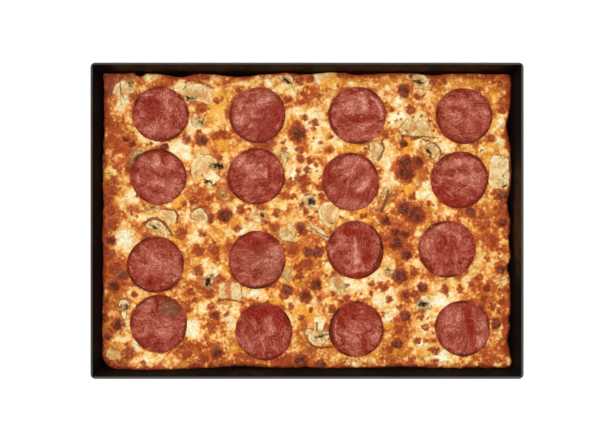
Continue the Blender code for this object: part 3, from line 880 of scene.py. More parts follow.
# Scorched cheese, red-brown
SCORCHED = patches(
    (221, 193, 9, 9, 0, 1.2), (492, 355, 9, 8, 0, 0.8), (203, 211, 9, 8, 0, 1.0), (239, 356, 10, 7, 0, 0.9),
    (419, 175, 9, 8, 0, 1.0), (311, 247, 9, 9, 0, 1.0), (203, 284, 9, 8, 0, 1.0), (168, 82, 9, 6, 0, 1.0),
    (113, 139, 8, 9, 0, 1.0), (419, 211, 9, 9, 0, 0.8), (474, 284, 9, 6, 0, 0.9), (383, 357, 10, 6, 0, 0.8),
    (222, 304, 8, 6, 0, 0.6), (277, 157, 6, 8, 0, 0.9), (383, 284, 7, 6, 0, 0.4),
    (125, 146, 12, 10, 0, 1.1), (204, 106, 4, 4, 0, 0.7), (222, 136, 9, 6, 0, 0.9),
    (196, 194, 13, 8, -20, 0.8), (110, 205, 6, 22, 0, 1.0), (197, 77, 14, 2.5, 0, 0.9),
    (107, 118, 4, 20, 0, 0.7), (225, 95, 8, 8, 0, 0.35), (315, 97, 12, 13, 0, 0.6),
    (360, 76, 18, 5, 0, 0.5), (440, 92, 9, 6, 0, 0.5), (509, 92, 4, 16, 0, 1.1), (405, 168, 13, 11, 0, 0.9),
    (411, 212, 14, 12, 0, 1.0), (492, 80, 20, 7, 0, 0.5), (116, 276, 11, 22, 0, 1.1),
    (105, 255, 4, 40, 0, 0.8), (202, 350, 25, 9, 0, 0.8), (215, 316, 8, 9, 0, 0.6),
    (217, 281, 7, 5, 0, 0.8), (295, 250, 12, 8, 0, 0.8), (266, 147, 9, 4, 0, 0.8),
    (290, 361, 22, 6, 0, 0.9), (396, 242, 15, 15, 20, 1.0), (400, 265, 6, 10, 0, 0.9),
    (487, 242, 12, 11, 0, 0.75), (487, 292, 6, 10, -15, 0.9), (503, 268, 6, 9, 0, 0.9),
    (503, 330, 5, 36, 0, 0.8), (345, 362, 40, 4, 0, 0.5), (405, 300, 7, 9, 0, 0.7),
    (107, 340, 4, 14, 0, 0.7), (114, 353, 9, 8, 0, 0.5), (299, 133, 10, 12, 0, 0.5),
    (306, 180, 8, 8, 0, 0.4), (300, 292, 16, 10, 0, 0.4), (215, 250, 20, 10, 0, 0.25),
    (400, 325, 12, 22, 0, 0.35), (183, 233, 6, 9, 0, 0.5), (500, 205, 8, 22, 0, 0.5),
)


def cover(patches: tuple, x: np.ndarray, y: np.ndarray, soft: float = 0.55) -> np.ndarray:
    """How strongly soft ovals cover places of the pizza.

    Args:
        patches: The ovals.
        x: Metres along the long side.
        y: Metres along the short side.
        soft: The share of an oval over which it fades in.

    Returns:
        One strength a place.
    """
    total = np.zeros_like(x)
    for patch in patches:
        middle_x, middle_y = from_photo(patch.x, patch.y)
        near = np.abs(x - middle_x) + np.abs(y - middle_y) < 3 * max(patch.long, patch.short) * PIXEL
        dx, dy = (x[near] - middle_x) / PIXEL, (y[near] - middle_y) / PIXEL
        cosine, sine = math.cos(math.radians(patch.turn)), math.sin(math.radians(patch.turn))
        far = np.hypot((dx * cosine + dy * sine) / patch.long, (dy * cosine - dx * sine) / patch.short)
        value = patch.strength * ramp(1 + soft, 1 - soft, far)
        total[near] = np.maximum(total[near], value)
    return total


def frayed(x: np.ndarray, y: np.ndarray, amount: float = 1.0) -> tuple:
    """Places pushed about a little, so that what is drawn there has an uneven edge."""
    push_x = 0.9 * Ripple(67, 3.4 * MM).at(x, y) + 0.4 * Ripple(68, 1.7 * MM).at(x, y)
    push_y = 0.9 * Ripple(69, 3.4 * MM).at(x, y) + 0.4 * Ripple(70, 1.7 * MM).at(x, y)
    return x + push_x * amount * MM, y + push_y * amount * MM


def trace(strokes: tuple, x: np.ndarray, y: np.ndarray, soft: float = 0.7) -> np.ndarray:
    """How strongly soft lines cover places of the pizza.

    Args:
        strokes: The lines.
        x: Metres along the long side.
        y: Metres along the short side.
        soft: How wide the fading edge of a line is, in pixels.

    Returns:
        One strength a place.
    """
    total = np.zeros_like(x)
    for stroke in strokes:
        points = [from_photo(*point) for point in stroke.points]
        for (ax, ay), (bx, by) in zip(points, points[1:]):
            reach = (stroke.half + soft * 2) * PIXEL
            near = (x > min(ax, bx) - reach) & (x < max(ax, bx) + reach)
            near &= (y > min(ay, by) - reach) & (y < max(ay, by) + reach)
            dx, dy = bx - ax, by - ay
            share = np.clip(((x[near] - ax) * dx + (y[near] - ay) * dy) / (dx * dx + dy * dy), 0, 1)
            far = np.hypot(x[near] - ax - share * dx, y[near] - ay - share * dy) / PIXEL
            value = stroke.strength * ramp(stroke.half + soft, stroke.half - soft * 0.6, far)
            total[near] = np.maximum(total[near], value)
    return total


# Finishes

@dataclass(frozen=True)
class CheeseFinish:
    """Melted cheese, from pale through golden and orange to charred blisters."""

    tones: tuple = (
        (0.00, lit(255, 248, 214)),
        (0.14, lit(255, 237, 184)),
        (0.28, lit(255, 218, 148)),
        (0.40, lit(249, 193, 108)),
        (0.52, lit(229, 147, 67)),
        (0.64, lit(193, 93, 40)),
        (0.78, lit(146, 56, 28)),
        (1.00, lit(84, 34, 22)),
    )
    oil_colour: tuple = lit(252, 174, 48)
    red_colour: tuple = lit(176, 60, 22)
    halo_colour: tuple = lit(214, 112, 40)
    ring_colour: tuple = lit(156, 60, 26)
    char_colour: tuple = lit(100, 36, 12)
    ash_colour: tuple = lit(138, 74, 48)
    cleft_shade_colour: tuple = lit(40, 20, 4)
    line_colour: tuple = lit(128, 56, 14)
    shade_halo_colour: tuple = lit(150, 124, 84)
    olive_colour: tuple = lit(196, 178, 108)

    def material(self) -> bpy.types.Material:
        """Makes the material."""
        book = NodeBook(bpy.data.materials.new("baked_cheese"))
        where = book.places()
        curds = book.cells(where, 7.4 * MM, 6.0 * MM).between(0.16, 0.56)
        shreds = book.cells(where, 3.1 * MM, 3.0 * MM).between(0.15, 0.70)
        mottle = book.grain(where, 4.6 * MM, 1, 0.5, 1.4).between(0.40, 0.60)
        fine = book.grain(where, 1.5 * MM, 2, 0.5, 0.5).between(0.34, 0.66)
        bake, oil, spot = book.layer("bake"), book.layer("oil"), book.layer("spot")
        red, dark, line = book.layer("red"), book.layer("dark"), book.layer("line")
        coarse = bake.between(0.2, 0.5)
        tone = bake + (curds - 0.5) * 0.17 + (mottle - 0.5) * 0.11
        tone = tone + (shreds - 0.5) * (0.05 + coarse * 0.11) + (fine - 0.5) * (0.02 + coarse * 0.06)
        colour = book.colours(tone, self.tones)
        reddened = (red * 1.1 + (shreds - 0.5) * 0.5 + (mottle - 0.5) * 0.3).between(0.25, 0.95) * 0.62
        colour = book.blend(reddened, colour, self.red_colour)
        pooled = (oil + (mottle - 0.5) * 0.3 + (curds - 0.5) * 0.4).between(0.25, 1.1) * 0.75
        colour = book.blend(pooled, colour, self.oil_colour)
        browned = spot + (shreds - 0.5) * 0.34 + (fine - 0.5) * 0.16
        colour = book.blend(browned.between(0.02, 0.5) * 0.62, colour, self.halo_colour)
        colour = book.blend(browned.between(0.36, 0.86) * 0.95, colour, self.ring_colour)
        charred = book.blend((mottle * 0.7 + fine * 0.3).between(0.3, 1.1), self.char_colour, self.ash_colour)
        colour = book.blend(browned.between(0.85, 1.40), colour, charred)
        colour = book.blend(book.layer("olive") * 0.45, colour, self.olive_colour)
        # Painted shade: a grey halo round the clefts
        murky = (book.layer("murk") + (mottle - 0.5) * 0.6).between(0.1, 1.2) * 0.7
        colour = book.blend(murky, colour, self.shade_halo_colour)
        lined = (line + (fine - 0.5) * 0.4).between(0.2, 0.95) * 0.9
        colour = book.blend(lined, colour, self.line_colour)
        # Painted shade: near black in the clefts beside the mushrooms
        cleft = (dark + (fine - 0.5) * 0.5 + (mottle - 0.5) * 0.3).between(0.35, 0.9)
        colour = book.blend(cleft, colour, self.cleft_shade_colour)
        roughness = 0.44 - pooled * 0.18 - (mottle - 0.5) * 0.10
        relief = 1.0 - curds * 0.5 - shreds * 0.35 - fine * 0.15
        return book.finish(relief, 0.9 * MM, Base_Color=colour, Roughness=roughness, Specular_IOR_Level=0.1)


@dataclass(frozen=True)
class PepperoniFinish:
    """Cured sausage: red meat with pinkish wavy fat, wet with oil, with painted highlights."""

    tones: tuple = (
        (0.00, lit(94, 12, 2)),
        (0.28, lit(140, 42, 24)),
        (0.50, lit(170, 75, 53)),
        (0.72, lit(194, 108, 88)),
        (1.00, lit(232, 164, 142)),
    )
    red_tones: tuple = ((0.0, lit(100, 8, 0)), (0.5, lit(142, 28, 10)), (1.0, lit(180, 62, 38)))
    rim_colour: tuple = lit(118, 30, 6)
    edge_colour: tuple = lit(58, 14, 2)
    glint_colour: tuple = lit(244, 206, 186)
    olive_colour: tuple = lit(112, 76, 44)

    def material(self) -> bpy.types.Material:
        """Makes the material."""
        book = NodeBook(bpy.data.materials.new("pepperoni_meat"))
        where = book.layer("grain", vector=True)
        blotch = book.grain(where, 7.5 * MM, 2, 0.5, 0.9).between(0.34, 0.66)
        wave = book.grain(where, 2.8 * MM, 2, 0.55, 1.8).between(0.32, 0.68)
        thread = book.grain(where, 1.2 * MM, 2, 0.6, 0.8).between(0.3, 0.7)
        light, red, rim = book.layer("light"), book.layer("red"), book.layer("rim")
        # light: pale fat, painted highlights, and painted shade darker towards the edge
        tone = 0.48 + (blotch - 0.5) * 0.27 + (wave - 0.5) * 0.30 + (thread - 0.5) * 0.36 + light * 0.22
        colour = book.colours(tone, self.tones)
        reddened = (red + (wave - 0.5) * 0.7 + (thread - 0.5) * 0.3).between(0.15, 1.0) * 0.95
        deep = book.colours(wave * 0.6 + thread * 0.4, self.red_tones)
        colour = book.blend(reddened, colour, deep)
        colour = book.blend(book.layer("olive") * 0.7, colour, self.olive_colour)
        colour = book.blend((rim + (wave - 0.5) * 0.35).between(0.1, 0.85) * 0.92, colour, self.rim_colour)
        colour = book.blend((rim + (wave - 0.5) * 0.4).between(1.15, 1.6), colour, self.edge_colour)
        glint = book.grain(where, 1.3 * MM, 1, 0.5, 1.2).between(0.60, 0.74) * (light * 0.25 + blotch * 0.4)
        colour = book.blend(glint, colour, self.glint_colour)
        roughness = 0.38 + (blotch - 0.5) * 0.14 - reddened * 0.08
        relief = wave * 0.55 + thread * 0.45
        return book.finish(relief, 0.35 * MM, Base_Color=colour, Roughness=roughness, Specular_IOR_Level=0.1)


@dataclass(frozen=True)
class MushroomFinish:
    """Baked mushroom flesh with a browner skin and dark gills."""

    flesh: tuple = lit(255, 236, 180)
    shade: tuple = lit(222, 162, 92)
    grey: tuple = lit(150, 124, 80)
    skin_colour: tuple = lit(138, 66, 20)
    gill_colour: tuple = lit(38, 20, 4)
    gill_shade: tuple = lit(120, 94, 56)
    toast_colour: tuple = lit(206, 112, 42)
    olive_colour: tuple = lit(180, 150, 84)

    def material(self) -> bpy.types.Material:
        """Makes the material."""
        book = NodeBook(bpy.data.materials.new("mushroom_flesh"))
        where = book.places()
        mottle = book.grain(where, 5.0 * MM, 2, 0.5, 1.0).between(0.30, 0.70)
        fine = book.grain(where, 1.6 * MM, 2, 0.6, 0.5).between(0.30, 0.70)
        shaded = (book.layer("shade") + (mottle - 0.5) * 0.5 + (fine - 0.5) * 0.16).between(-0.2, 1.2)
        colour = book.blend(shaded, self.flesh, self.shade)
        olive = (book.layer("olive") + (mottle - 0.5) * 0.7).between(0.1, 1.1)
        colour = book.blend(olive * 0.8, colour, self.olive_colour)
        # Greyer round the gills and clefts: partly the flesh's own colour, partly painted shade
        murky = (book.layer("murk") + (mottle - 0.5) * 0.8).between(0.15, 1.2) * 0.65
        colour = book.blend(murky, colour, self.grey)
        toast = (book.layer("toast") + (mottle - 0.5) * 0.6 + (fine - 0.5) * 0.3).between(0.2, 1.0)
        colour = book.blend(toast * 0.85, colour, self.toast_colour)
        skin = (book.layer("skin") + (fine - 0.5) * 0.3).between(0.2, 1.0) * 0.92
        colour = book.blend(skin, colour, self.skin_colour)
        gilled = (book.layer("dark") + (fine - 0.5) * 0.35 + (mottle - 0.5) * 0.3).between(0.35, 0.95)
        gills = book.blend(fine.between(0.5, 1.0), self.gill_colour, self.gill_shade)
        colour = book.blend(gilled, colour, gills)
        roughness = 0.50 + (fine - 0.5) * 0.16
        relief = mottle * 0.5 + fine * 0.5
        return book.finish(relief, 0.5 * MM, Base_Color=colour, Roughness=roughness, Specular_IOR_Level=0.06)


@dataclass(frozen=True)
class CrustFinish:
    """The baked side of the dough, darkest where it touches the pan."""

    tones: tuple = (
        (0.10, lit(214, 150, 84)),
        (0.35, lit(168, 96, 50)),
        (0.60, lit(112, 58, 44)),
        (0.85, lit(70, 36, 34)),
    )

    def material(self) -> bpy.types.Material:
        """Makes the material."""
        book = NodeBook(bpy.data.materials.new("baked_crust"))
        where = book.places()
        mottle = book.grain(where, 7 * MM, 4, 0.6, 0.4)
        fine = book.grain(where, 1.3 * MM, 3, 0.6)
        tone = book.layer("bake") + (mottle - 0.5) * 0.6 + (fine - 0.5) * 0.35
        relief = mottle * 0.5 + fine * 0.5
        colour = book.colours(tone, self.tones)
        roughness = 0.62 + (fine - 0.5) * 0.3
        return book.finish(relief, 0.8 * MM, Base_Color=colour, Roughness=roughness, Specular_IOR_Level=0.35)


@dataclass(frozen=True)
class SteelFinish:
    """Black baked-on coating over sheet steel, with a grey band along the rim that is partly wear and partly
    painted sheen, and brown tints high on the inner walls.
    """

    black: tuple = lit(12, 8, 7)
    greyed: tuple = lit(22, 18, 17)
    stain_colour: tuple = lit(86, 54, 28)
    worn_colour: tuple = lit(88, 90, 86)

    def material(self) -> bpy.types.Material:
        """Makes the material."""
        book = NodeBook(bpy.data.materials.new("black_steel"))
        where = book.places()
        cloud = book.grain(where, 45 * MM, 4, 0.6, 0.5)
        blot = book.grain(where, 14 * MM, 4, 0.62, 0.8)
        speck = book.grain(where, 1.6 * MM, 3, 0.65)
        colour = book.blend((cloud - 0.35) * 1.8, self.black, self.greyed)
        # Brown tints high on the inner walls
        stain = (book.layer("stain") + (blot - 0.5) * 1.4 + (speck - 0.5) * 0.3).between(0.35, 1.0)
        colour = book.blend(stain * 0.6, colour, self.stain_colour)
        # Grey rim band: partly wear, partly painted sheen
        worn = (book.layer("worn") + (speck - 0.5) * 0.6 + (blot - 0.5) * 0.4).between(0.2, 1.0)
        colour = book.blend(worn * 0.9, colour, self.worn_colour)
        roughness = 0.66 + (blot - 0.5) * 0.25 + (speck - 0.5) * 0.15
        relief = speck * 0.7 + blot * 0.3
        return book.finish(relief, 0.10 * MM, Base_Color=colour, Roughness=roughness, Specular_IOR_Level=0.05)


# The pan and the dough


@dataclass
class SteelPan:
    """A tapered pan pressed from one sheet, with rounded corners and a folded, rounded hem."""

    shape: PanShape = SHAPE.pan
    finish: SteelFinish = SteelFinish()
    corner_steps: int = 8
    foot_steps: int = 6
    hem_steps: int = 6
    hem_round: float = 0.46
    wall_cuts: int = 5
    side_cuts: int = 8
    sharp_angle: float = math.radians(40)
    right_stain: tuple = (220, 62)
    bottom_stain: tuple = (262, 40)

    def build(self) -> bpy.types.Object:
        """Makes the pan and gives it its finish.

        Returns:
            The piece.
        """
        mesh = to_mesh("steel_pan", self._shell())
        mesh.set_sharp_from_angle(angle=self.sharp_angle)
        self._paint(mesh)
        return place_piece("steel_pan", mesh, self.finish.material(), "pan")

    def _shell(self) -> bmesh.types.BMesh:
        """Folds the shell from a tapered box without a lid."""
        shape = self.shape
        bm = bmesh.new()
        bmesh.ops.create_cube(bm, size=2)
        for vert in bm.verts:
            z = shape.depth if vert.co.z > 0 else 0
            half_x, half_y = shape.inner_halves(z)
            vert.co = (vert.co.x * (half_x + shape.sheet), vert.co.y * (half_y + shape.sheet), z)
        lid = max(bm.faces, key=lambda face: face.calc_center_median().z)
        bmesh.ops.delete(bm, geom=[lid], context="FACES_ONLY")
        upright = [
            edge for edge in bm.edges if abs(edge.verts[0].co.z - edge.verts[1].co.z) > shape.depth / 2
        ]
        self._round(bm, upright, shape.corner, self.corner_steps)
        foot = [edge for edge in bm.edges if max(vert.co.z for vert in edge.verts) < MM]
        self._round(bm, foot, shape.foot, self.foot_steps)
        bmesh.ops.recalc_face_normals(bm, faces=bm.faces)
        bmesh.ops.solidify(bm, geom=bm.faces, thickness=shape.sheet)
        fold = shape.depth - shape.hem_height
        self._slice(bm, fold)
        bmesh.ops.recalc_face_normals(bm, faces=bm.faces)
        band = [face for face in bm.faces if face.calc_center_median().z > fold and self._faces_out(face)]
        bmesh.ops.inset_region(
            bm, faces=band, thickness=0, depth=shape.hem_width - shape.sheet, use_even_offset=True
        )
        for vert in bm.verts:
            if vert.co.z > shape.depth - MM:
                vert.co.z = shape.depth
        bm.normal_update()
        lips = [edge for edge in bm.edges if self._is_lip(edge)]
        self._round(bm, lips, shape.hem_width * self.hem_round, self.hem_steps)
        for cut in range(1, self.wall_cuts + 1):
            self._slice(bm, fold * cut / (self.wall_cuts + 1))
        for half, direction in ((shape.length / 2, (1, 0, 0)), (shape.width / 2, (0, 1, 0))):
            for share in range(-self.side_cuts, self.side_cuts + 1):
                everything = bm.verts[:] + bm.edges[:] + bm.faces[:]
                middle = Vector(direction) * half * share / (self.side_cuts + 1)
                bmesh.ops.bisect_plane(bm, geom=everything, plane_co=middle, plane_no=direction)
        return bm

    @staticmethod
    def _round(bm: bmesh.types.BMesh, edges: list, radius: float, steps: int) -> None:
        """Rounds edges off."""
        bmesh.ops.bevel(
            bm, geom=edges, offset=radius, segments=steps, profile=0.5, affect="EDGES", material=-1
        )

    @staticmethod
    def _slice(bm: bmesh.types.BMesh, height: float) -> None:
        """Adds a level loop of edges at a height."""
        everything = bm.verts[:] + bm.edges[:] + bm.faces[:]
        bmesh.ops.bisect_plane(bm, geom=everything, plane_co=(0, 0, height), plane_no=(0, 0, 1))

    @staticmethod
    def _faces_out(face: bmesh.types.BMFace) -> bool:
        """Whether a face of the wall looks away from the pan's middle."""
        outward = Vector((*face.calc_center_median().xy, 0))
        return abs(face.normal.z) < 0.5 and face.normal.dot(outward) > 0

    def _is_lip(self, edge: bmesh.types.BMEdge) -> bool:
        """Whether an edge is one of the two sharp ones along the rim's top."""
        at_top = min(vert.co.z for vert in edge.verts) > self.shape.depth - MM
        return at_top and len(edge.link_faces) == 2 and edge.calc_face_angle() > 1

    def _paint(self, mesh: bpy.types.Mesh) -> None:
        """Marks the grey rim band, partly wear and partly painted sheen, and the brown tints high on the
        inner walls.
        """
        places = vertex_places(mesh)
        x, y, z = places.T
        half_x, half_y = self.shape.inner_halves(z)
        inside = (np.abs(x) < half_x + 0.3 * MM) & (np.abs(y) < half_y + 0.3 * MM)
        out = np.maximum(np.abs(x) - half_x, np.abs(y) - half_y) / self.shape.hem_width
        # The grey band on the hem's outer top is partly wear and partly painted sheen, lighter towards +X and
        # -Y as if lit from there
        worn = ramp(self.shape.depth - 1.6 * MM, self.shape.depth - 0.2 * MM, z) * ramp(-0.15, 0.3, out)
        worn *= 0.85 + 0.25 * ramp(-0.8, 0.8, x / half_x - y / half_y)
        # Brown tints high on the inner walls: along the +Y wall, and in patches on the +X and -Y walls
        high = inside * ramp(24 * MM, 34 * MM, z)
        stain = 0.75 * high * ramp(0.8, 0.95, y / half_y) * ramp(1.0, 0.9, np.abs(x) / half_x)
        middle, reach = self.right_stain
        along = (PHOTO_MIDDLE[1] - y / PIXEL - middle) / reach
        stain += 0.85 * high * ramp(0.9, 0.98, x / half_x) * np.exp(-(along**4))
        middle, reach = self.bottom_stain
        along = (x / PIXEL + PHOTO_MIDDLE[0] - middle) / reach
        stain += 0.6 * high * ramp(-0.8, -0.95, y / half_y) * np.exp(-(along**4))
        paint(mesh, worn=worn, stain=stain)


@dataclass
class Dough:
    """The thick crust, which fills the pan up to the cheese."""

    shape: PizzaShape = SHAPE
    finish: CrustFinish = CrustFinish()
    cells_x: int = 180
    cells_y: int = 130

    def build(self) -> bpy.types.Object:
        """Makes the dough and gives it its finish.

        Returns:
            The piece.
        """
        shape = self.shape
        bottom, top = shape.crust_bottom, shape.crust_top
        margin = shape.crust_margin
        levels = [(bottom, 3.2 * MM), (bottom + 0.6 * MM, 2.0 * MM), (bottom + 2 * MM, 0.9 * MM)]
        levels += [(bottom + rise * MM, 0.75 * MM) for rise in (4, 6.5, 9, 11.5, 14, 16.5)]
        levels += [(top - 1.8 * MM, margin), (top - 0.9 * MM, margin + 0.15 * MM)]
        levels += [(top - 0.3 * MM, margin + 0.5 * MM), (top, margin + 1.3 * MM)]
        mesh = to_mesh("baked_crust", outline_stack(self.cells_x, self.cells_y, len(levels), True))
        places = vertex_places(mesh)
        level = np.rint(places[:, 2]).astype(int)
        z = np.array([height for height, _ in levels])[level]
        side = np.arctan2(places[:, 1], places[:, 0])
        lumps = Ripple(91, 0.045).at(side + 4, z * 6) * 0.5 + Ripple(92, 0.018).at(side + 4, z * 6) * 0.5
        inset = np.array([inset for _, inset in levels])[level] + (lumps + 0.6) * 0.45 * MM
        inset = np.maximum(inset, 0.3 * MM)
        x, y = shape.plan(places[:, 0], places[:, 1], z, inset)
        set_places(mesh, np.column_stack((x, y, z)))
        bake = 0.62 - 0.25 * ramp(bottom + 5 * MM, top - 4 * MM, z) + 0.3 * ramp(top - 3 * MM, top, z)
        paint(mesh, bake=bake)
        return place_piece("baked_crust", mesh, self.finish.material(), "crust")


def outline_stack(cells_x: int, cells_y: int, levels: int, hollow: bool) -> bmesh.types.BMesh:
    """A closed slab over the unit square, whose heights count the levels.

    Args:
        cells_x: Cells along the long side.
        cells_y: Cells along the short side.
        levels: How many rings of points its side has.
        hollow: Whether the top is one face, and the levels count up from the bottom, or a grid,
            and the levels count down from the top.

    Returns:
        The slab.
    """
    bm = bmesh.new()
    bmesh.ops.create_grid(bm, x_segments=cells_x, y_segments=cells_y, size=1)
    if hollow:
        bmesh.ops.dissolve_faces(bm, faces=bm.faces[:])
    rim = [edge for edge in bm.edges if edge.is_boundary]
    step = 1 if hollow else -1
    for _ in range(levels - 1):
        spread = bmesh.ops.extrude_edge_only(bm, edges=rim)["geom"]
        rim = [item for item in spread if isinstance(item, bmesh.types.BMEdge) and item.is_boundary]
        verts = [item for item in spread if isinstance(item, bmesh.types.BMVert)]
        bmesh.ops.translate(bm, vec=(0, 0, step), verts=verts)
    bmesh.ops.edgeloop_fill(bm, edges=rim)
    return bm


# Where the toppings lie


@dataclass(frozen=True)
class Topping:
    """A topping's place: its matrix and its outline in its own coordinates."""

    node: str
    matrix: Matrix
    outline: np.ndarray
    thickness: float

    def local(self, x: np.ndarray, y: np.ndarray) -> tuple:
        """Places of the pizza in the topping's own coordinates, as seen from above."""
        turned = self.matrix.inverted().to_3x3()
        dx, dy = x - self.matrix.translation.x, y - self.matrix.translation.y
        return turned[0][0] * dx + turned[0][1] * dy, turned[1][0] * dx + turned[1][1] * dy

    def inside(self, x: np.ndarray, y: np.ndarray) -> np.ndarray:
        """How far places lie inside the outline, below zero outside it."""
        return distance_to_outline(*self.local(x, y), self.outline)

    def level(self, x: np.ndarray, y: np.ndarray, rise: float) -> np.ndarray:
        """The height of the topping's own plane at a rise above its underside."""
        middle, up = self.matrix @ Vector((0, 0, rise)), self.matrix.col[2]
        return middle.z - (up.x * (x - middle.x) + up.y * (y - middle.y)) / up.z

    def reach(self) -> float:
        """How far the outline goes from its own middle."""
        return float(np.hypot(*self.outline.T).max())

    def away(self, x: np.ndarray, y: np.ndarray) -> np.ndarray:
        """How far places lie from the topping's middle."""
        return np.hypot(x - self.matrix.translation.x, y - self.matrix.translation.y)

    def placed(self, x: np.ndarray, y: np.ndarray, z: np.ndarray) -> np.ndarray:
        """The topping's own points in the frame of the pan, one a row."""
        return np.column_stack((x, y, z, np.ones_like(x))) @ np.array(self.matrix).T


@dataclass(frozen=True)
class SliceShape:
    """A mushroom slice's proportions, as shares of its width, its length or its cap's rise."""

    steps: int = 20
    trim: float = 0.2
    cap_depth: float = 0.62
    shoulder: float = 0.22
    brim: float = 0.82
    brim_rise: float = 0.02
    hollow: float = 0.12
    neck: float = 0.36
    heel: float = 0.46

    def outline(self, item: Slice) -> np.ndarray:
        """The outline of a mushroom slice, with the dome of its cap towards +Y.

        Args:
            item: The slice.

        Returns:
            The outline's corners in metres, one a row.
        """
        width, length = item.width * PIXEL, item.length * PIXEL
        half, top, foot = width / 2, length / 2, -length / 2
        if item.form is Form.STRIP:
            trim = min(width, length) * self.trim
            quarter = [(half - trim, foot), (half, foot + trim), (half, top - trim), (half - trim, top)]
            return np.array(quarter + [(-x, y) for x, y in reversed(quarter)])
        under = foot if item.form is Form.CAP else top - min(self.cap_depth * width, self.cap_depth * length)
        rise = top - under
        angles = [math.pi * step / self.steps for step in range(self.steps + 1)]
        points = [
            (half * math.cos(angle), under + rise * max(math.sin(angle), self.shoulder)) for angle in angles
        ]
        brim, low = half * self.brim, under + rise * self.brim_rise
        points = [(brim, low)] + points + [(-half * self.brim, low)]
        if item.form is Form.CAP:
            return np.array(points + [(0, under + rise * self.hollow)])
        neck, heel = self.neck * half, self.heel * half
        stem = [(-neck, under + self.hollow * half), (-neck, 0.5 * (under + foot)), (-heel, foot)]
        return np.array(points + stem + [(-x, y) for x, y in reversed(stem)])


@dataclass
class Layout:
    """The places of all toppings, drawn in one order from one seed."""

    seed: int = 7
    disc_thickness: float = 1.9 * MM
    disc_sunk: float = 1.0 * MM
    disc_tilt: float = 1.0
    slice_thickness: float = 2.6 * MM
    slice_sunk: float = 1.9 * MM
    slice_tilt: float = 4.0
    slice_shape: SliceShape = SliceShape()
    discs: list = field(default_factory=list)
    slices: list = field(default_factory=list)
    phases: list = field(default_factory=list)

    def __post_init__(self) -> None:
        """Draws the places."""
        rng = random.Random(self.seed)
        for disc in DISCS:
            phase = rng.uniform(0, math.tau)
            matrix = SHAPE.resting(*from_photo(disc.x, disc.y), 0, self.disc_sunk, self.disc_tilt, rng)
            around = np.linspace(0, math.tau, 72, endpoint=False)
            out = disc.radius * PIXEL * self.wobble(around, phase)
            outline = np.column_stack((out * np.cos(around), out * np.sin(around)))
            self.discs.append(Topping(f"pepperoni_{disc.name}", matrix, outline, self.disc_thickness))
            self.phases.append(phase)
        for number, item in enumerate(SLICES, 1):
            place = from_photo(item.x, item.y)
            matrix = SHAPE.resting(*place, item.turn - 90, self.slice_sunk, self.slice_tilt, rng)
            outline = self.slice_shape.outline(item)
            self.slices.append(Topping(f"mushroom_{number:02d}", matrix, outline, self.slice_thickness))

    @staticmethod
    def wobble(angle: np.ndarray, phase: float) -> np.ndarray:
        """How uneven a disc's edge is."""
        return 1 + 0.012 * np.sin(2 * angle + phase) + 0.008 * np.sin(3 * angle - 2 * phase)


# The cheese


class EdgeBake(NamedTuple):
    """How baked the cheese is along a wall: strength, reach, and strength of the dark last line."""

    rise: float
    reach: float
    dark: float


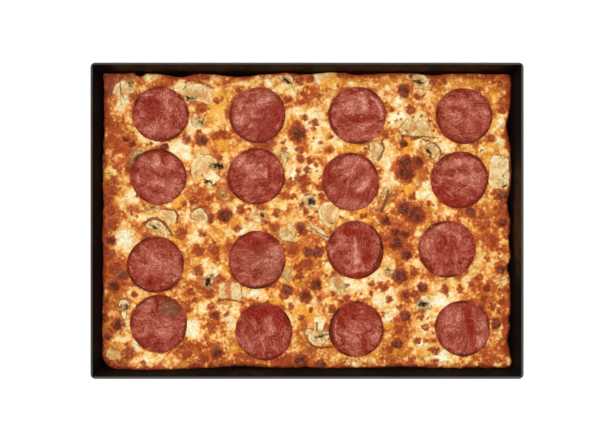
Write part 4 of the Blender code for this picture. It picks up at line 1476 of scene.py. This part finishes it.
@dataclass
class MeltedCheese:
    """The cheese: one sheet with its blisters, its browned rim and a seat under each topping."""

    layout: Layout
    shape: PizzaShape = SHAPE
    finish: CheeseFinish = CheeseFinish()
    cells_x: int = 352
    cells_y: int = 256
    insets: tuple = (0.75 * MM, 0.4 * MM, 0.35 * MM, 0.9 * MM)
    lumps: tuple = ((0.34 * MM, 8.5 * MM), (0.26 * MM, 4.1 * MM), (0.12 * MM, 2.3 * MM))
    edges: tuple = (
        EdgeBake(0.37, 5.5 * MM, 0.36),
        EdgeBake(0.31, 4.5 * MM, 0.40),
        EdgeBake(0.15, 3.0 * MM, 0.20),
        EdgeBake(0.27, 4.5 * MM, 0.28),
    )
    specks: int = 480
    speck_seed: int = 23
    speck_across: tuple = (105, 508)
    speck_down: tuple = (76, 364)
    speck_radius: tuple = (0.8, 2.1)

    def build(self) -> bpy.types.Object:
        """Makes the cheese and gives it its finish.

        Returns:
            The piece.
        """
        shape = self.shape
        mesh = to_mesh("melted_cheese", outline_stack(self.cells_x, self.cells_y, 4, False))
        places = vertex_places(mesh)
        u, v, level = places[:, 0], places[:, 1], np.rint(-places[:, 2]).astype(int)
        half_x, half_y = shape.pan.inner_halves(shape.cheese_level)
        raised = shape.climb(u * half_x, v * half_y)
        ragged = (Ripple(31, 6 * MM).at(u * half_x, v * half_y) + 0.3) * 0.4 * MM
        inset = np.array(self.insets)[level]
        rim = np.array([3.1, 2.1, 1.1, 0.0])[level] * MM
        inset = inset - 0.6 * MM * ramp(-0.6, -1.0, v) + 0.5 * MM * ramp(0.6, 1.0, u)
        margin = np.maximum(inset - np.minimum(raised * 0.2, MM) + ragged, 0.25 * MM)
        x, y = shape.plan(u, v, shape.cheese_bottom + rim + raised * (level < 2), margin)
        to_rim = np.minimum((1 - np.abs(u)) * half_x, (1 - np.abs(v)) * half_y)
        z = shape.cheese_height(x, y)
        z = z - shape.edge_drop * np.clip(1 - to_rim / (2.4 * MM), 0, 1) ** 2
        z, covered = self._seat(x, y, z)
        z = z + self._relief(x, y) * (1 - covered)
        side = [z, z - 1.0 * MM, np.full_like(z, shape.cheese_bottom + 1.1 * MM)]
        z = np.choose(level, side + [np.full_like(z, shape.cheese_bottom)])
        z = np.maximum(z, shape.cheese_bottom)
        set_places(mesh, np.column_stack((x, y, z)))
        self._paint(mesh, x, y, u, v, level)
        return place_piece("melted_cheese", mesh, self.finish.material(), "cheese")

    def _seat(self, x: np.ndarray, y: np.ndarray, z: np.ndarray) -> tuple:
        """Lets the cheese meet each topping's edge and pass below it.

        Args:
            x: Metres along the long side.
            y: Metres along the short side.
            z: The cheese's heights.

        Returns:
            The new heights, and how much of each place a topping covers.
        """
        z = z.copy()
        covered = np.zeros_like(z)
        wander = Ripple(41, 5 * MM).at(x, y)
        plan = [(item, 0.34 * MM, 5 * MM, 0.60 * MM) for item in self.layout.slices]
        plan += [(item, 0.75 * MM, 6 * MM, 0.25 * MM) for item in self.layout.discs]
        toasted = [item.toast for item in SLICES] + [0.0] * len(self.layout.discs)
        for (item, proud, spread, waver), toast in zip(plan, toasted):
            near = item.away(x, y) < item.reach() + spread + MM
            px, py = x[near], y[near]
            inside = item.inside(px, py)
            around = ramp(-spread, 0, inside)
            meet = item.level(px, py, item.thickness) - proud + wander[near] * (waver + toast * 0.9 * MM)
            height = z[near] * (1 - around) + (meet + toast * 0.7 * MM) * around
            below = item.level(px, py, item.thickness) - 1.5 * MM
            under = ramp(0.3 * MM, 1.3 * MM, inside)
            if toast > 0.2:
                below = below + 1.2 * MM
            z[near] = height * (1 - under) + below * under
            covered[near] = np.maximum(covered[near], ramp(-0.8 * MM, 0.4 * MM, inside))
        return z, covered

    def _relief(self, x: np.ndarray, y: np.ndarray) -> np.ndarray:
        """The lumps and blisters that stand on the cheese."""
        height = np.zeros_like(x)
        for number, (rise, length) in enumerate(self.lumps):
            height += rise * Ripple(51 + number, length).at(x, y)
        domes = np.zeros_like(x)
        for spots, lift in ((CHARRED, 0.27), (BROWNED, 0.20)):
            for spot_x, spot_y, radius in spots:
                near, far = self._around(x, y, spot_x, spot_y, radius * 1.15)
                dome = np.clip(1 - far**2, 0, 1) ** 1.4 - 0.35 * np.exp(-((far / 0.35) ** 2))
                domes[near] = np.maximum(domes[near], dome * lift * radius * PIXEL)
        return height + domes - 0.9 * MM * np.clip(cover(GILLS_AND_CLEFT_SHADE, *frayed(x, y)), 0, 1)

    @staticmethod
    def _around(x: np.ndarray, y: np.ndarray, spot_x: float, spot_y: float, radius: float) -> tuple:
        """The places near a spot, and how far each lies from it in radii."""
        middle_x, middle_y = from_photo(spot_x, spot_y)
        size = radius * PIXEL
        near = (np.abs(x - middle_x) < 2.6 * size) & (np.abs(y - middle_y) < 2.6 * size)
        return near, np.hypot(x[near] - middle_x, y[near] - middle_y) / size

    def _paint(
        self,
        mesh: bpy.types.Mesh,
        x: np.ndarray,
        y: np.ndarray,
        u: np.ndarray,
        v: np.ndarray,
        level: np.ndarray,
    ) -> None:
        """Works out how baked, oily, red and dark each place is, for the finish to read.

        Args:
            mesh: The cheese.
            x: Metres along the long side.
            y: Metres along the short side.
            u: From -1 to 1 along the long side.
            v: From -1 to 1 along the short side.
            level: 0 on top, and more down the side.
        """
        half_x, half_y = self.shape.pan.inner_halves(self.shape.cheese_level)
        warped_x = x + 0.9 * MM * Ripple(61, 4.4 * MM).at(x, y) + 0.5 * MM * Ripple(65, 2.2 * MM).at(x, y)
        warped_y = y + 0.9 * MM * Ripple(62, 4.4 * MM).at(x, y) + 0.5 * MM * Ripple(66, 2.2 * MM).at(x, y)
        soft_x = x + 2.2 * MM * Ripple(63, 8 * MM).at(x, y)
        soft_y = y + 2.2 * MM * Ripple(64, 8 * MM).at(x, y)
        bake = 0.43 + 0.08 * Ripple(71, 13 * MM).at(x, y) + 0.10 * Ripple(72, 5.2 * MM).at(x, y)
        bake += 0.05 * Ripple(73, 2.6 * MM).at(x, y)
        bake -= 0.32 * cover(PALE, soft_x, soft_y, 0.6)
        red = cover(SCORCHED, soft_x, soft_y, 0.6)
        bake += 0.21 * red
        uneven = 1 + 0.9 * Ripple(76, 9 * MM).at(x, y) + 0.6 * Ripple(77, 4 * MM).at(x, y)
        from_left_right_top_bottom = (
            (1 + u) * half_x, (1 - u) * half_x, (1 - v) * half_y, (1 + v) * half_y
        )
        for away, edge in zip(from_left_right_top_bottom, self.edges):
            bake += edge.rise * np.exp(-away / edge.reach) * uneven
            bake += edge.dark * np.exp(-away / (1.5 * MM))
            red = red + 0.4 * np.exp(-away / (4 * MM)) * uneven
        for item in self.layout.discs:
            near = item.away(x, y) < item.reach() + 9 * MM
            ring = np.exp(-np.maximum(-item.inside(x[near], y[near]), 0) / (1.6 * MM))
            bake[near] += (0.16 + 0.10 * Ripple(75, 5 * MM).at(x[near], y[near])) * ring
        rng = random.Random(self.speck_seed)
        ranges = (self.speck_across, self.speck_down, self.speck_radius)
        tiny = [tuple(rng.uniform(*span) for span in ranges) for _ in range(self.specks)]
        spot = np.zeros_like(x)
        kinds = ((CHARRED, 1.48, 1.5, 1.35), (BROWNED, 1.48, 1.3, 0.80), (tiny, 1.35, 1.0, 0.8))
        for spots, spread, steep, most in kinds:
            for spot_x, spot_y, radius in spots:
                near, far = self._around(warped_x, warped_y, spot_x, spot_y, radius)
                spot[near] = np.maximum(spot[near], np.minimum((spread - far) * steep, most))
        bake = np.where(level > 0, 0.84, bake)
        oil = cover(OIL, soft_x, soft_y, 0.6) + 0.45 * np.clip(Ripple(74, 12 * MM).at(x, y) - 0.25, 0, 1)
        # dark: painted shade in the clefts beside the mushrooms
        dark, line = cover(GILLS_AND_CLEFT_SHADE, *frayed(x, y), 0.7), trace(EDGES, *frayed(x, y, 0.45), 0.9)
        murk = cover(GILL_GREY_AND_SHADE_HALOS, *frayed(x, y), 0.9)
        olive = np.zeros_like(x)
        for item, spec in zip(self.layout.slices, SLICES):
            near = item.away(x, y) < item.reach() + 5 * MM
            inside = item.inside(x[near], y[near])
            olive[near] = np.maximum(olive[near], spec.olive * ramp(-4 * MM, 0, inside))
            # A brown line on the cheese along each slice's dome side, partly the cap's skin and partly
            # painted contact shade
            wander = Ripple(104, 5 * MM).at(x[near], y[near])
            rim = np.exp(-((inside / (0.8 * MM)) ** 2)) * (0.15 + 0.5 * wander)
            along = item.local(x[near], y[near])[1]
            line[near] = np.maximum(line[near], rim * ramp(-0.1, 0.2, along / item.reach()))
        bake = np.clip(bake, 0, 1)
        paint(mesh, bake=bake, spot=spot, oil=oil, red=red, dark=dark, line=line, olive=olive, murk=murk)


# The toppings

# On the pepperoni: deep red oil, pale fat with some painted highlights, painted highlight lines, dark raised
# edges and the grey-olive stain
RED_SPOTS = patches(
    (152, 106, 9, 9, 0, 0.8), (155.7, 102.8, 5, 4), (152, 113, 7, 3, 0, 0.9), (133.5, 112, 2, 8, 0, 0.8),
    (277, 115, 6, 11), (268, 127, 11, 5, 0, 0.7), (262, 136, 12, 4, 0, 0.6), (358, 118, 15, 4.5, 4, 1.2),
    (346, 121, 6, 4, 0, 0.8), (479, 125, 6, 5, 0, 0.7), (455, 108, 12, 2, -8, 0.6),
    (446, 124, 6, 6, 0, 0.4), (158, 151, 16, 4, 0, 0.6), (135, 176, 4, 13, 0, 0.5),
    (150, 200, 16, 4, 0, 0.5), (163, 161, 1.1, 6, 28, 1.3), (270, 173, 1.8, 9, 4, 1.4), (277, 176, 5, 9),
    (268, 192, 8, 5, 0, 0.7), (328, 176, 4.5, 9), (374, 184, 4, 8, 0, 0.9), (352, 196, 16, 5, 0, 0.6),
    (362, 168, 6, 4, 0, 0.5), (456, 200, 18, 5, 8, 1.0), (440, 191, 8, 6, 30, 0.9),
    (475, 195, 8, 5, -25, 0.8), (148, 284, 14, 5, 28, 0.9), (137, 276, 4, 7, -30, 0.6),
    (176, 264, 4, 8, 0, 0.4), (255, 243, 13, 6, 0, 1.2), (240, 246, 6, 4, 0, 0.6), (352, 232, 14, 4.5),
    (366, 257, 5, 6, 0, 1.3), (338, 262, 8, 8, 0, 0.4), (356, 276, 14, 2.6, 0, 0.9),
    (452, 250, 10, 8, 0, 0.4), (440, 266, 9, 5, 0, 0.4), (150, 344, 14, 4, 16, 0.9),
    (146, 338, 10, 2, 10, 0.6), (160, 318, 8, 3, 0, 0.4), (262, 311, 18, 6, 4, 1.15), (279, 320, 7, 8),
    (252, 307, 8, 3, 0, 0.9), (349, 313, 11, 7, -30, 1.2), (342, 322, 4, 6, 0, 0.9),
    (364, 342, 2.8, 6, 15, 1.2), (370, 318, 8, 6, 0, 0.5), (470, 324, 4.2, 20, 4, 1.1),
    (482, 310, 6, 5, 0, 0.4),
)
FAT_AND_GLINT_SPOTS = patches(
    (172, 106, 10, 8, 0, 0.7), (166, 126, 13, 8, 0, 0.3), (263.5, 99.5, 5, 4, 0, 1.4),
    (238, 110, 7, 14, 10, 0.5), (251, 105, 9, 9, 0, 0.5), (362.5, 104, 4.2, 10, 6, 1.6),
    (348, 104, 12, 8, 0, 0.6), (355, 134, 14, 6, 0, 0.4), (484, 116, 5, 6, 0, 1.2),
    (462, 103, 16, 4, -8, 0.6), (452, 112, 10, 2, -10, 0.7), (171, 165, 10, 8, 0, 0.6),
    (138, 178, 1.4, 5, 0, 1.5), (160, 186, 12, 8, 0, 0.4), (157, 161, 4, 5, 20, 0.9),
    (252, 169, 12, 10, 0, 0.7), (265.9, 174, 1.2, 5, 0, 1.5), (240, 162, 6, 5, 0, 0.5),
    (350, 173, 5, 3.5, 0, 1.3), (363, 186, 8, 3.2, 38, 1.6), (340, 166, 8, 6, 0, 0.5),
    (366, 160, 8, 5, 0, 0.4), (460, 162, 16, 4, 4, 1.1), (452, 176, 14, 8, 0, 0.35),
    (474, 178, 6, 8, 0, 0.6), (144, 271, 6, 6, 0, 1.1), (162, 256, 12, 10, 0, 0.35),
    (270, 256, 10, 10, 0, 0.5), (266.7, 259.7, 2.4, 2.4, 0, 1.7), (243, 270, 10, 8, 0, 0.3),
    (355.5, 247, 1.7, 12, 2, 1.7), (356, 262, 2.8, 4, 0, 1.8), (341, 240, 5, 7, 0, 0.6),
    (356, 270, 10, 2.0, 0, 1.2), (330.5, 254.5, 1.6, 3.5, -20, 1.6), (444, 227, 9, 5),
    (428, 238, 6, 8, 0, 0.5), (462, 246, 8, 10, 0, 0.3), (150, 303, 6, 6, 0, 0.7),
    (158, 326, 10, 8, 0, 0.4), (262, 326, 14, 6, 0, 0.3), (258, 343, 16, 6, 0, 0.35),
    (352, 334, 12, 8, 0, 0.3), (378.5, 311, 1.4, 1.4, 0, 2.0), (372, 330, 6, 8, 0, 0.4),
    (452, 322, 10, 12, 0, 0.4), (475, 340, 8, 4, -25, 0.8), (488, 326, 4, 8, 0, 0.7),
)
GLINT_LINES = strokes(
    (0.5, 1.8, (139, 96.3), (145, 95.3), (152, 95)),
    (1.1, 1.4, (371.7, 98), (376.5, 102), (380, 108), (381.5, 114), (380.8, 119)),
    (0.6, 1.7, (161.5, 158.5), (159.5, 163), (157.5, 166)),
    (0.5, 1.7, (444, 190), (449, 193), (452, 197), (457, 198)),
    (0.5, 1.5, (462, 190), (468, 186)),
    (0.5, 1.7, (130.5, 266), (132, 271.5)),
    (0.5, 1.6, (174, 279.5), (178.5, 277)),
    (0.5, 1.8, (277.5, 127), (280, 122), (281.5, 117)),
    (0.6, 1.5, (336, 320), (335, 330), (336.5, 340)),
    (0.5, 1.5, (432.5, 306), (435.5, 303)),
)
DARK_ARCS = strokes(
    (1.5, 1.35, (371.3, 226.3), (377, 231), (380.5, 238), (381.5, 248), (379.5, 258), (374.7, 267)),
    (1.9, 1.35, (338.5, 309.5), (333, 315), (330.6, 323), (330.5, 331), (332, 340), (336, 347)),
    (0.9, 1.6, (131, 277), (137, 285), (146, 290.5), (155, 292)),
    (0.8, 1.5, (139, 156), (147, 151), (158, 149), (168, 151)),
    (0.7, 1.4, (244, 151), (252, 148.6), (262, 149.3)),
    (1.0, 1.4, (240, 137.5), (247, 141), (256, 143)),
    (0.9, 1.3, (331, 105), (329.5, 114), (331, 124), (337, 134)),
    (0.8, 1.4, (440, 133), (448, 140), (458, 143.5), (468, 143.5)),
    (0.7, 1.5, (186.6, 316), (187.2, 326), (184, 336)),
    (0.8, 1.3, (156, 297), (158, 304), (157, 310)),
    (0.7, 1.3, (236.5, 322), (240, 313), (247, 306)),
    (0.7, 1.5, (438, 344), (445, 350.5), (453, 354.5)),
    (0.8, 1.3, (440, 275.5), (448, 277), (456, 275)),
    (0.6, 1.3, (236, 240), (243, 234), (251, 231)),
    (0.7, 1.3, (487, 176), (486.5, 186), (482, 196)),
)
STAINS = patches((171, 308, 10, 8, -20, 1.0), (262, 262, 16, 12, 0, 0.25), (275, 272, 8, 8, 0, 0.35))


@dataclass
class PepperoniSlices:
    """Round slices of cured sausage, each a little dished, uneven and differently marbled."""

    layout: Layout
    finish: PepperoniFinish = PepperoniFinish()
    steps: int = 108
    rings: int = 34
    dish: float = 0.35 * MM
    stretch: float = 1.45
    swell: float = 1.012

    def build(self) -> list[bpy.types.Object]:
        """Makes every slice.

        Returns:
            The pieces.
        """
        finish = self.finish.material()
        made = []
        for number, (spec, item) in enumerate(zip(DISCS, self.layout.discs)):
            mesh = self._disc(spec, item, number)
            name = f"pepperoni_slice_{spec.name}"
            made.append(place_piece(name, mesh, finish, item.node))
        return made

    def _disc(self, spec: Disc, item: Topping, number: int) -> bpy.types.Mesh:
        """Turns one slice's profile round, and makes it uneven.

        Args:
            spec: Its place in the photograph.
            item: Its place in the pan.
            number: Which slice it is.

        Returns:
            Its mesh, in place.
        """
        radius, thick = spec.radius * PIXEL * self.swell, item.thickness
        shares = [ring / self.rings for ring in range(self.rings + 1)]
        profile = [(radius * 0.955 * share**0.85, thick) for share in shares]
        profile += [(radius * 0.982, thick - 0.10 * MM), (radius * 0.996, thick - 0.32 * MM)]
        profile += [(radius, thick - 0.7 * MM), (radius * 0.998, 0.5 * MM), (radius * 0.985, 0.12 * MM)]
        profile += [(radius * 0.96, 0), (radius * 0.5, 0), (0, 0)]
        bm = bmesh.new()
        verts = [bm.verts.new((out, 0, z)) for out, z in profile]
        edges = [bm.edges.new(pair) for pair in zip(verts, verts[1:])]
        bmesh.ops.spin(
            bm, geom=verts + edges, cent=(0, 0, 0), axis=(0, 0, 1), angle=math.tau, steps=self.steps,
            use_merge=True,
        )
        bmesh.ops.remove_doubles(bm, verts=bm.verts, dist=0.001 * MM)
        mesh = to_mesh(item.node + "_slice", bm)
        places = vertex_places(mesh)
        x, y, z = places.T
        out, angle = np.hypot(x, y), np.arctan2(y, x)
        share = out / radius
        on_top = ramp(thick * 0.5, thick * 0.9, z)
        out = out * self.layout.wobble(angle, self.layout.phases[number])
        shift = 0.1 * number
        lumps = 0.14 * MM * Ripple(81, 6.5 * MM).at(x + shift, y)
        lumps = lumps + 0.05 * MM * Ripple(82, 2 * MM).at(x + shift, y)
        cup = 0.30 * MM * ramp(0.7, 1.0, share) * np.sin(angle + self.layout.phases[number] * 3)
        lip = -self.dish * (1 - ramp(0.72, 0.93, share))
        z = z + on_top * (lip + lumps + np.maximum(cup, -0.1 * MM))
        x, y = out * np.cos(angle), out * np.sin(angle)
        placed = item.placed(x, y, z)
        set_places(mesh, placed[:, :3])
        turn = math.radians(spec.turn)
        along, across = x * math.cos(turn) + y * math.sin(turn), y * math.cos(turn) - x * math.sin(turn)
        grain = np.column_stack((along / self.stretch, across, np.full_like(x, shift)))
        world_x, world_y = placed[:, 0], placed[:, 1]
        rim = (0.66 + 0.8 * Ripple(83, 9 * MM).at(x + shift, y)) * ramp(0.83, 0.99, share)
        rim = np.maximum(rim, trace(DARK_ARCS, world_x, world_y))
        # Pale fat, with painted highlight spots and lines
        light = np.maximum(cover(FAT_AND_GLINT_SPOTS, world_x, world_y, 0.75), trace(GLINT_LINES, world_x, world_y))
        # Painted shade: each slice darker towards its edge
        light = light + 0.35 * (Ripple(84, 8 * MM).at(x + shift, y) - ramp(0.72, 1.0, share))
        paint(
            mesh,
            grain=grain,
            rim=rim,
            red=cover(RED_SPOTS, world_x, world_y, 0.75),
            light=light,
            olive=cover(STAINS, world_x, world_y, 0.8),
        )
        return mesh


@dataclass
class MushroomSlices:
    """Slices of button mushroom, half sunk in the cheese, with their gills and skins."""

    layout: Layout
    finish: MushroomFinish = MushroomFinish()
    voxel: float = 0.5 * MM

    def build(self) -> list[bpy.types.Object]:
        """Makes every slice.

        Returns:
            The pieces.
        """
        finish = self.finish.material()
        made = []
        for number, (spec, item) in enumerate(zip(SLICES, self.layout.slices)):
            mesh = self._slab(item)
            self._settle(mesh, spec, item, number)
            name = f"mushroom_slice_{number + 1:02d}"
            made.append(place_piece(name, mesh, finish, item.node))
        return made

    def _slab(self, item: Topping) -> bpy.types.Mesh:
        """Raises the outline to a slab and softens it into an even, fine mesh."""
        bm = bmesh.new()
        face = bm.faces.new([bm.verts.new((x, y, 0)) for x, y in item.outline])
        raised = bmesh.ops.extrude_face_region(bm, geom=[face])["geom"]
        verts = [part for part in raised if isinstance(part, bmesh.types.BMVert)]
        bmesh.ops.translate(bm, vec=(0, 0, item.thickness), verts=verts)
        rough = bpy.data.objects.new("rough_slab", to_mesh("rough_slab", bm))
        bpy.context.scene.collection.objects.link(rough)
        remesh = rough.modifiers.new("even", "REMESH")
        remesh.mode = "VOXEL"
        remesh.voxel_size = self.voxel
        soften = rough.modifiers.new("soften", "SMOOTH")
        soften.factor = 0.5
        soften.iterations = 5
        graph = bpy.context.evaluated_depsgraph_get()
        mesh = bpy.data.meshes.new_from_object(rough.evaluated_get(graph))
        stale = rough.data
        bpy.data.objects.remove(rough)
        bpy.data.meshes.remove(stale)
        mesh.name = item.node + "_slice"
        mesh.shade_smooth()
        return mesh

    def _settle(self, mesh: bpy.types.Mesh, spec: Slice, item: Topping, number: int) -> None:
        """Bends a slab under what lies over it, sinks its gills and paints it.

        Args:
            mesh: The slab, in its own coordinates.
            spec: Its place in the photograph.
            item: Its place in the pan.
            number: Which slice it is.
        """
        places = vertex_places(mesh)
        x, y, z = places.T
        inside = distance_to_outline(x, y, item.outline)
        on_top = ramp(item.thickness * 0.45, item.thickness * 0.9, z)
        shift = 0.07 * number
        swell = 1 + 0.05 * Ripple(106, 4 * MM).at(x + shift, y)
        x, y = x * swell, y * swell
        z = z + on_top * 0.16 * MM * Ripple(101, 5 * MM).at(x + shift, y)
        z = z + on_top * 0.07 * MM * Ripple(102, 1.8 * MM).at(x + shift, y)
        placed = item.placed(x, y, z)
        world_x, world_y, world_z = placed[:, 0], placed[:, 1], placed[:, 2].copy()
        gills = np.clip(cover(GILLS_AND_CLEFT_SHADE, *frayed(world_x, world_y), 0.75), 0, 1.2)
        world_z -= 0.7 * MM * gills * on_top
        for disc in self.layout.discs:
            world_z -= 2.0 * MM * ramp(-0.8 * MM, 0.9 * MM, disc.inside(world_x, world_y))
        for other in self.layout.slices[number + 1 :]:
            world_z -= 1.8 * MM * ramp(-0.8 * MM, 0.6 * MM, other.inside(world_x, world_y))
        world_z = np.maximum(world_z, SHAPE.cheese_bottom + 0.1 * MM)
        set_places(mesh, np.column_stack((world_x, world_y, world_z)))
        low, high = item.outline[:, 1].min(), item.outline[:, 1].max()
        along = (y - low) / (high - low)
        skin = ramp(1.1 * MM, 0.1 * MM, inside) * ramp(0.35, 0.6, along) * 0.55
        skin = skin + 0.35 * Ripple(104, 5 * MM).at(world_x, world_y) * (skin > 0)
        skin = np.maximum(skin, trace(EDGES, *frayed(world_x, world_y, 0.35)))
        shade = ramp(-1.6 * MM, 3.8 * MM, inside) * (0.40 + 0.60 * ramp(0.9, 0.3, along))
        if spec.form is Form.WHOLE:
            shade = shade * ramp(0.30, 0.48, along) + 0.15
        if spec.form is Form.STRIP:
            shade = 0.15 + 0.4 * Ripple(105, 7 * MM).at(world_x, world_y)
        shade = np.maximum(shade, cover(TANNED, world_x, world_y))
        toast = spec.toast + 0.45 * Ripple(103, 6 * MM).at(world_x, world_y) * (0.3 + spec.toast)
        toast = toast + 0.35 * ramp(1.4 * MM, 0.0, inside)
        toast = np.maximum(toast, cover(TOASTED, world_x, world_y, 0.8))
        olive = np.full_like(x, spec.olive)
        murk = cover(GILL_GREY_AND_SHADE_HALOS, *frayed(world_x, world_y), 0.9)
        paint(mesh, dark=gills, skin=skin, toast=toast, olive=olive, shade=shade, murk=murk)


# The studio


@dataclass
class Studio:
    """A pale floor, soft light from all round and the camera straight above the pan."""

    camera_height: float = 1020 * MM
    frame_width: float = 530.4 * MM
    sensor: float = 36.0
    floor_size: float = 4.0
    horizon: float = 0.95
    zenith: float = 0.15
    lights: tuple = (
        ("key_light", 1.1, 20, (-21, -15), True),
        ("slanted_light", 2.0, 8, (-38, -30), False),
        ("fill_light", 0.7, 30, (34, 26), False),
    )

    def build(self) -> None:
        """Makes the floor, the lights and the camera."""
        scene = bpy.context.scene
        scene.view_settings.view_transform = "Standard"
        scene.view_settings.look = "None"
        self._floor()
        self._light()
        camera = bpy.data.objects.new("camera", bpy.data.cameras.new("camera"))
        scene.collection.objects.link(camera)
        camera.data.sensor_width = self.sensor
        camera.data.lens = self.sensor * self.camera_height / self.frame_width
        camera.data.clip_start = 0.01
        camera.location = (-0.03 * MM, 0.60 * MM, SHAPE.pan.depth + self.camera_height)
        scene.camera = camera

    def _floor(self) -> None:
        """A plain pale floor just under the pan."""
        bm = bmesh.new()
        bmesh.ops.create_grid(bm, x_segments=1, y_segments=1, size=self.floor_size / 2)
        bmesh.ops.translate(bm, vec=(0, 0, -0.05 * MM), verts=bm.verts)
        mesh = bpy.data.meshes.new("floor")
        bm.to_mesh(mesh)
        bm.free()
        book = NodeBook(bpy.data.materials.new("studio_floor"))
        white = {"Emission_Color": (1.0, 1.0, 1.0), "Emission_Strength": 0.96}
        paper = book.finish(Base_Color=(0.3, 0.3, 0.3), Roughness=0.9, Specular_IOR_Level=0.1, **white)
        mesh.materials.append(paper)
        floor = bpy.data.objects.new("floor", mesh)
        bpy.context.scene.collection.objects.link(floor)

    def _light(self) -> None:
        """A sky that is white at the horizon and darker overhead, and three soft suns."""
        book = NodeBook(bpy.data.worlds.new("studio"), "Background")
        way = book.wire("ShaderNodeTexCoord", {}, {}, "Generated")
        height = book.wire("ShaderNodeSeparateXYZ", {}, {0: way}, "Z")
        sockets = {0: height, 1: 0.0, 2: 1.0, 3: self.horizon, 4: self.zenith}
        fade = book.wire("ShaderNodeMapRange", {}, sockets)
        bpy.context.scene.world = book.finish(Color=(1.0, 1.0, 1.0), Strength=fade)
        for name, energy, spread, tilt, shadow in self.lights:
            sun = bpy.data.lights.new(name, "SUN")
            sun.energy = energy
            sun.angle = math.radians(spread)
            sun.use_shadow = shadow
            lamp = bpy.data.objects.new(name, sun)
            lamp.rotation_euler = (math.radians(tilt[0]), math.radians(tilt[1]), 0)
            bpy.context.scene.collection.objects.link(lamp)


def main() -> None:
    """Builds the pan, the dough, the cheese, the toppings and the studio in order."""
    logging.basicConfig(level=logging.INFO, format="%(name)s: %(message)s")
    Studio().build()
    SteelPan().build()
    Dough().build()
    layout = Layout()
    MeltedCheese(layout).build()
    PepperoniSlices(layout).build()
    MushroomSlices(layout).build()


if __name__ == "__main__":
    main()
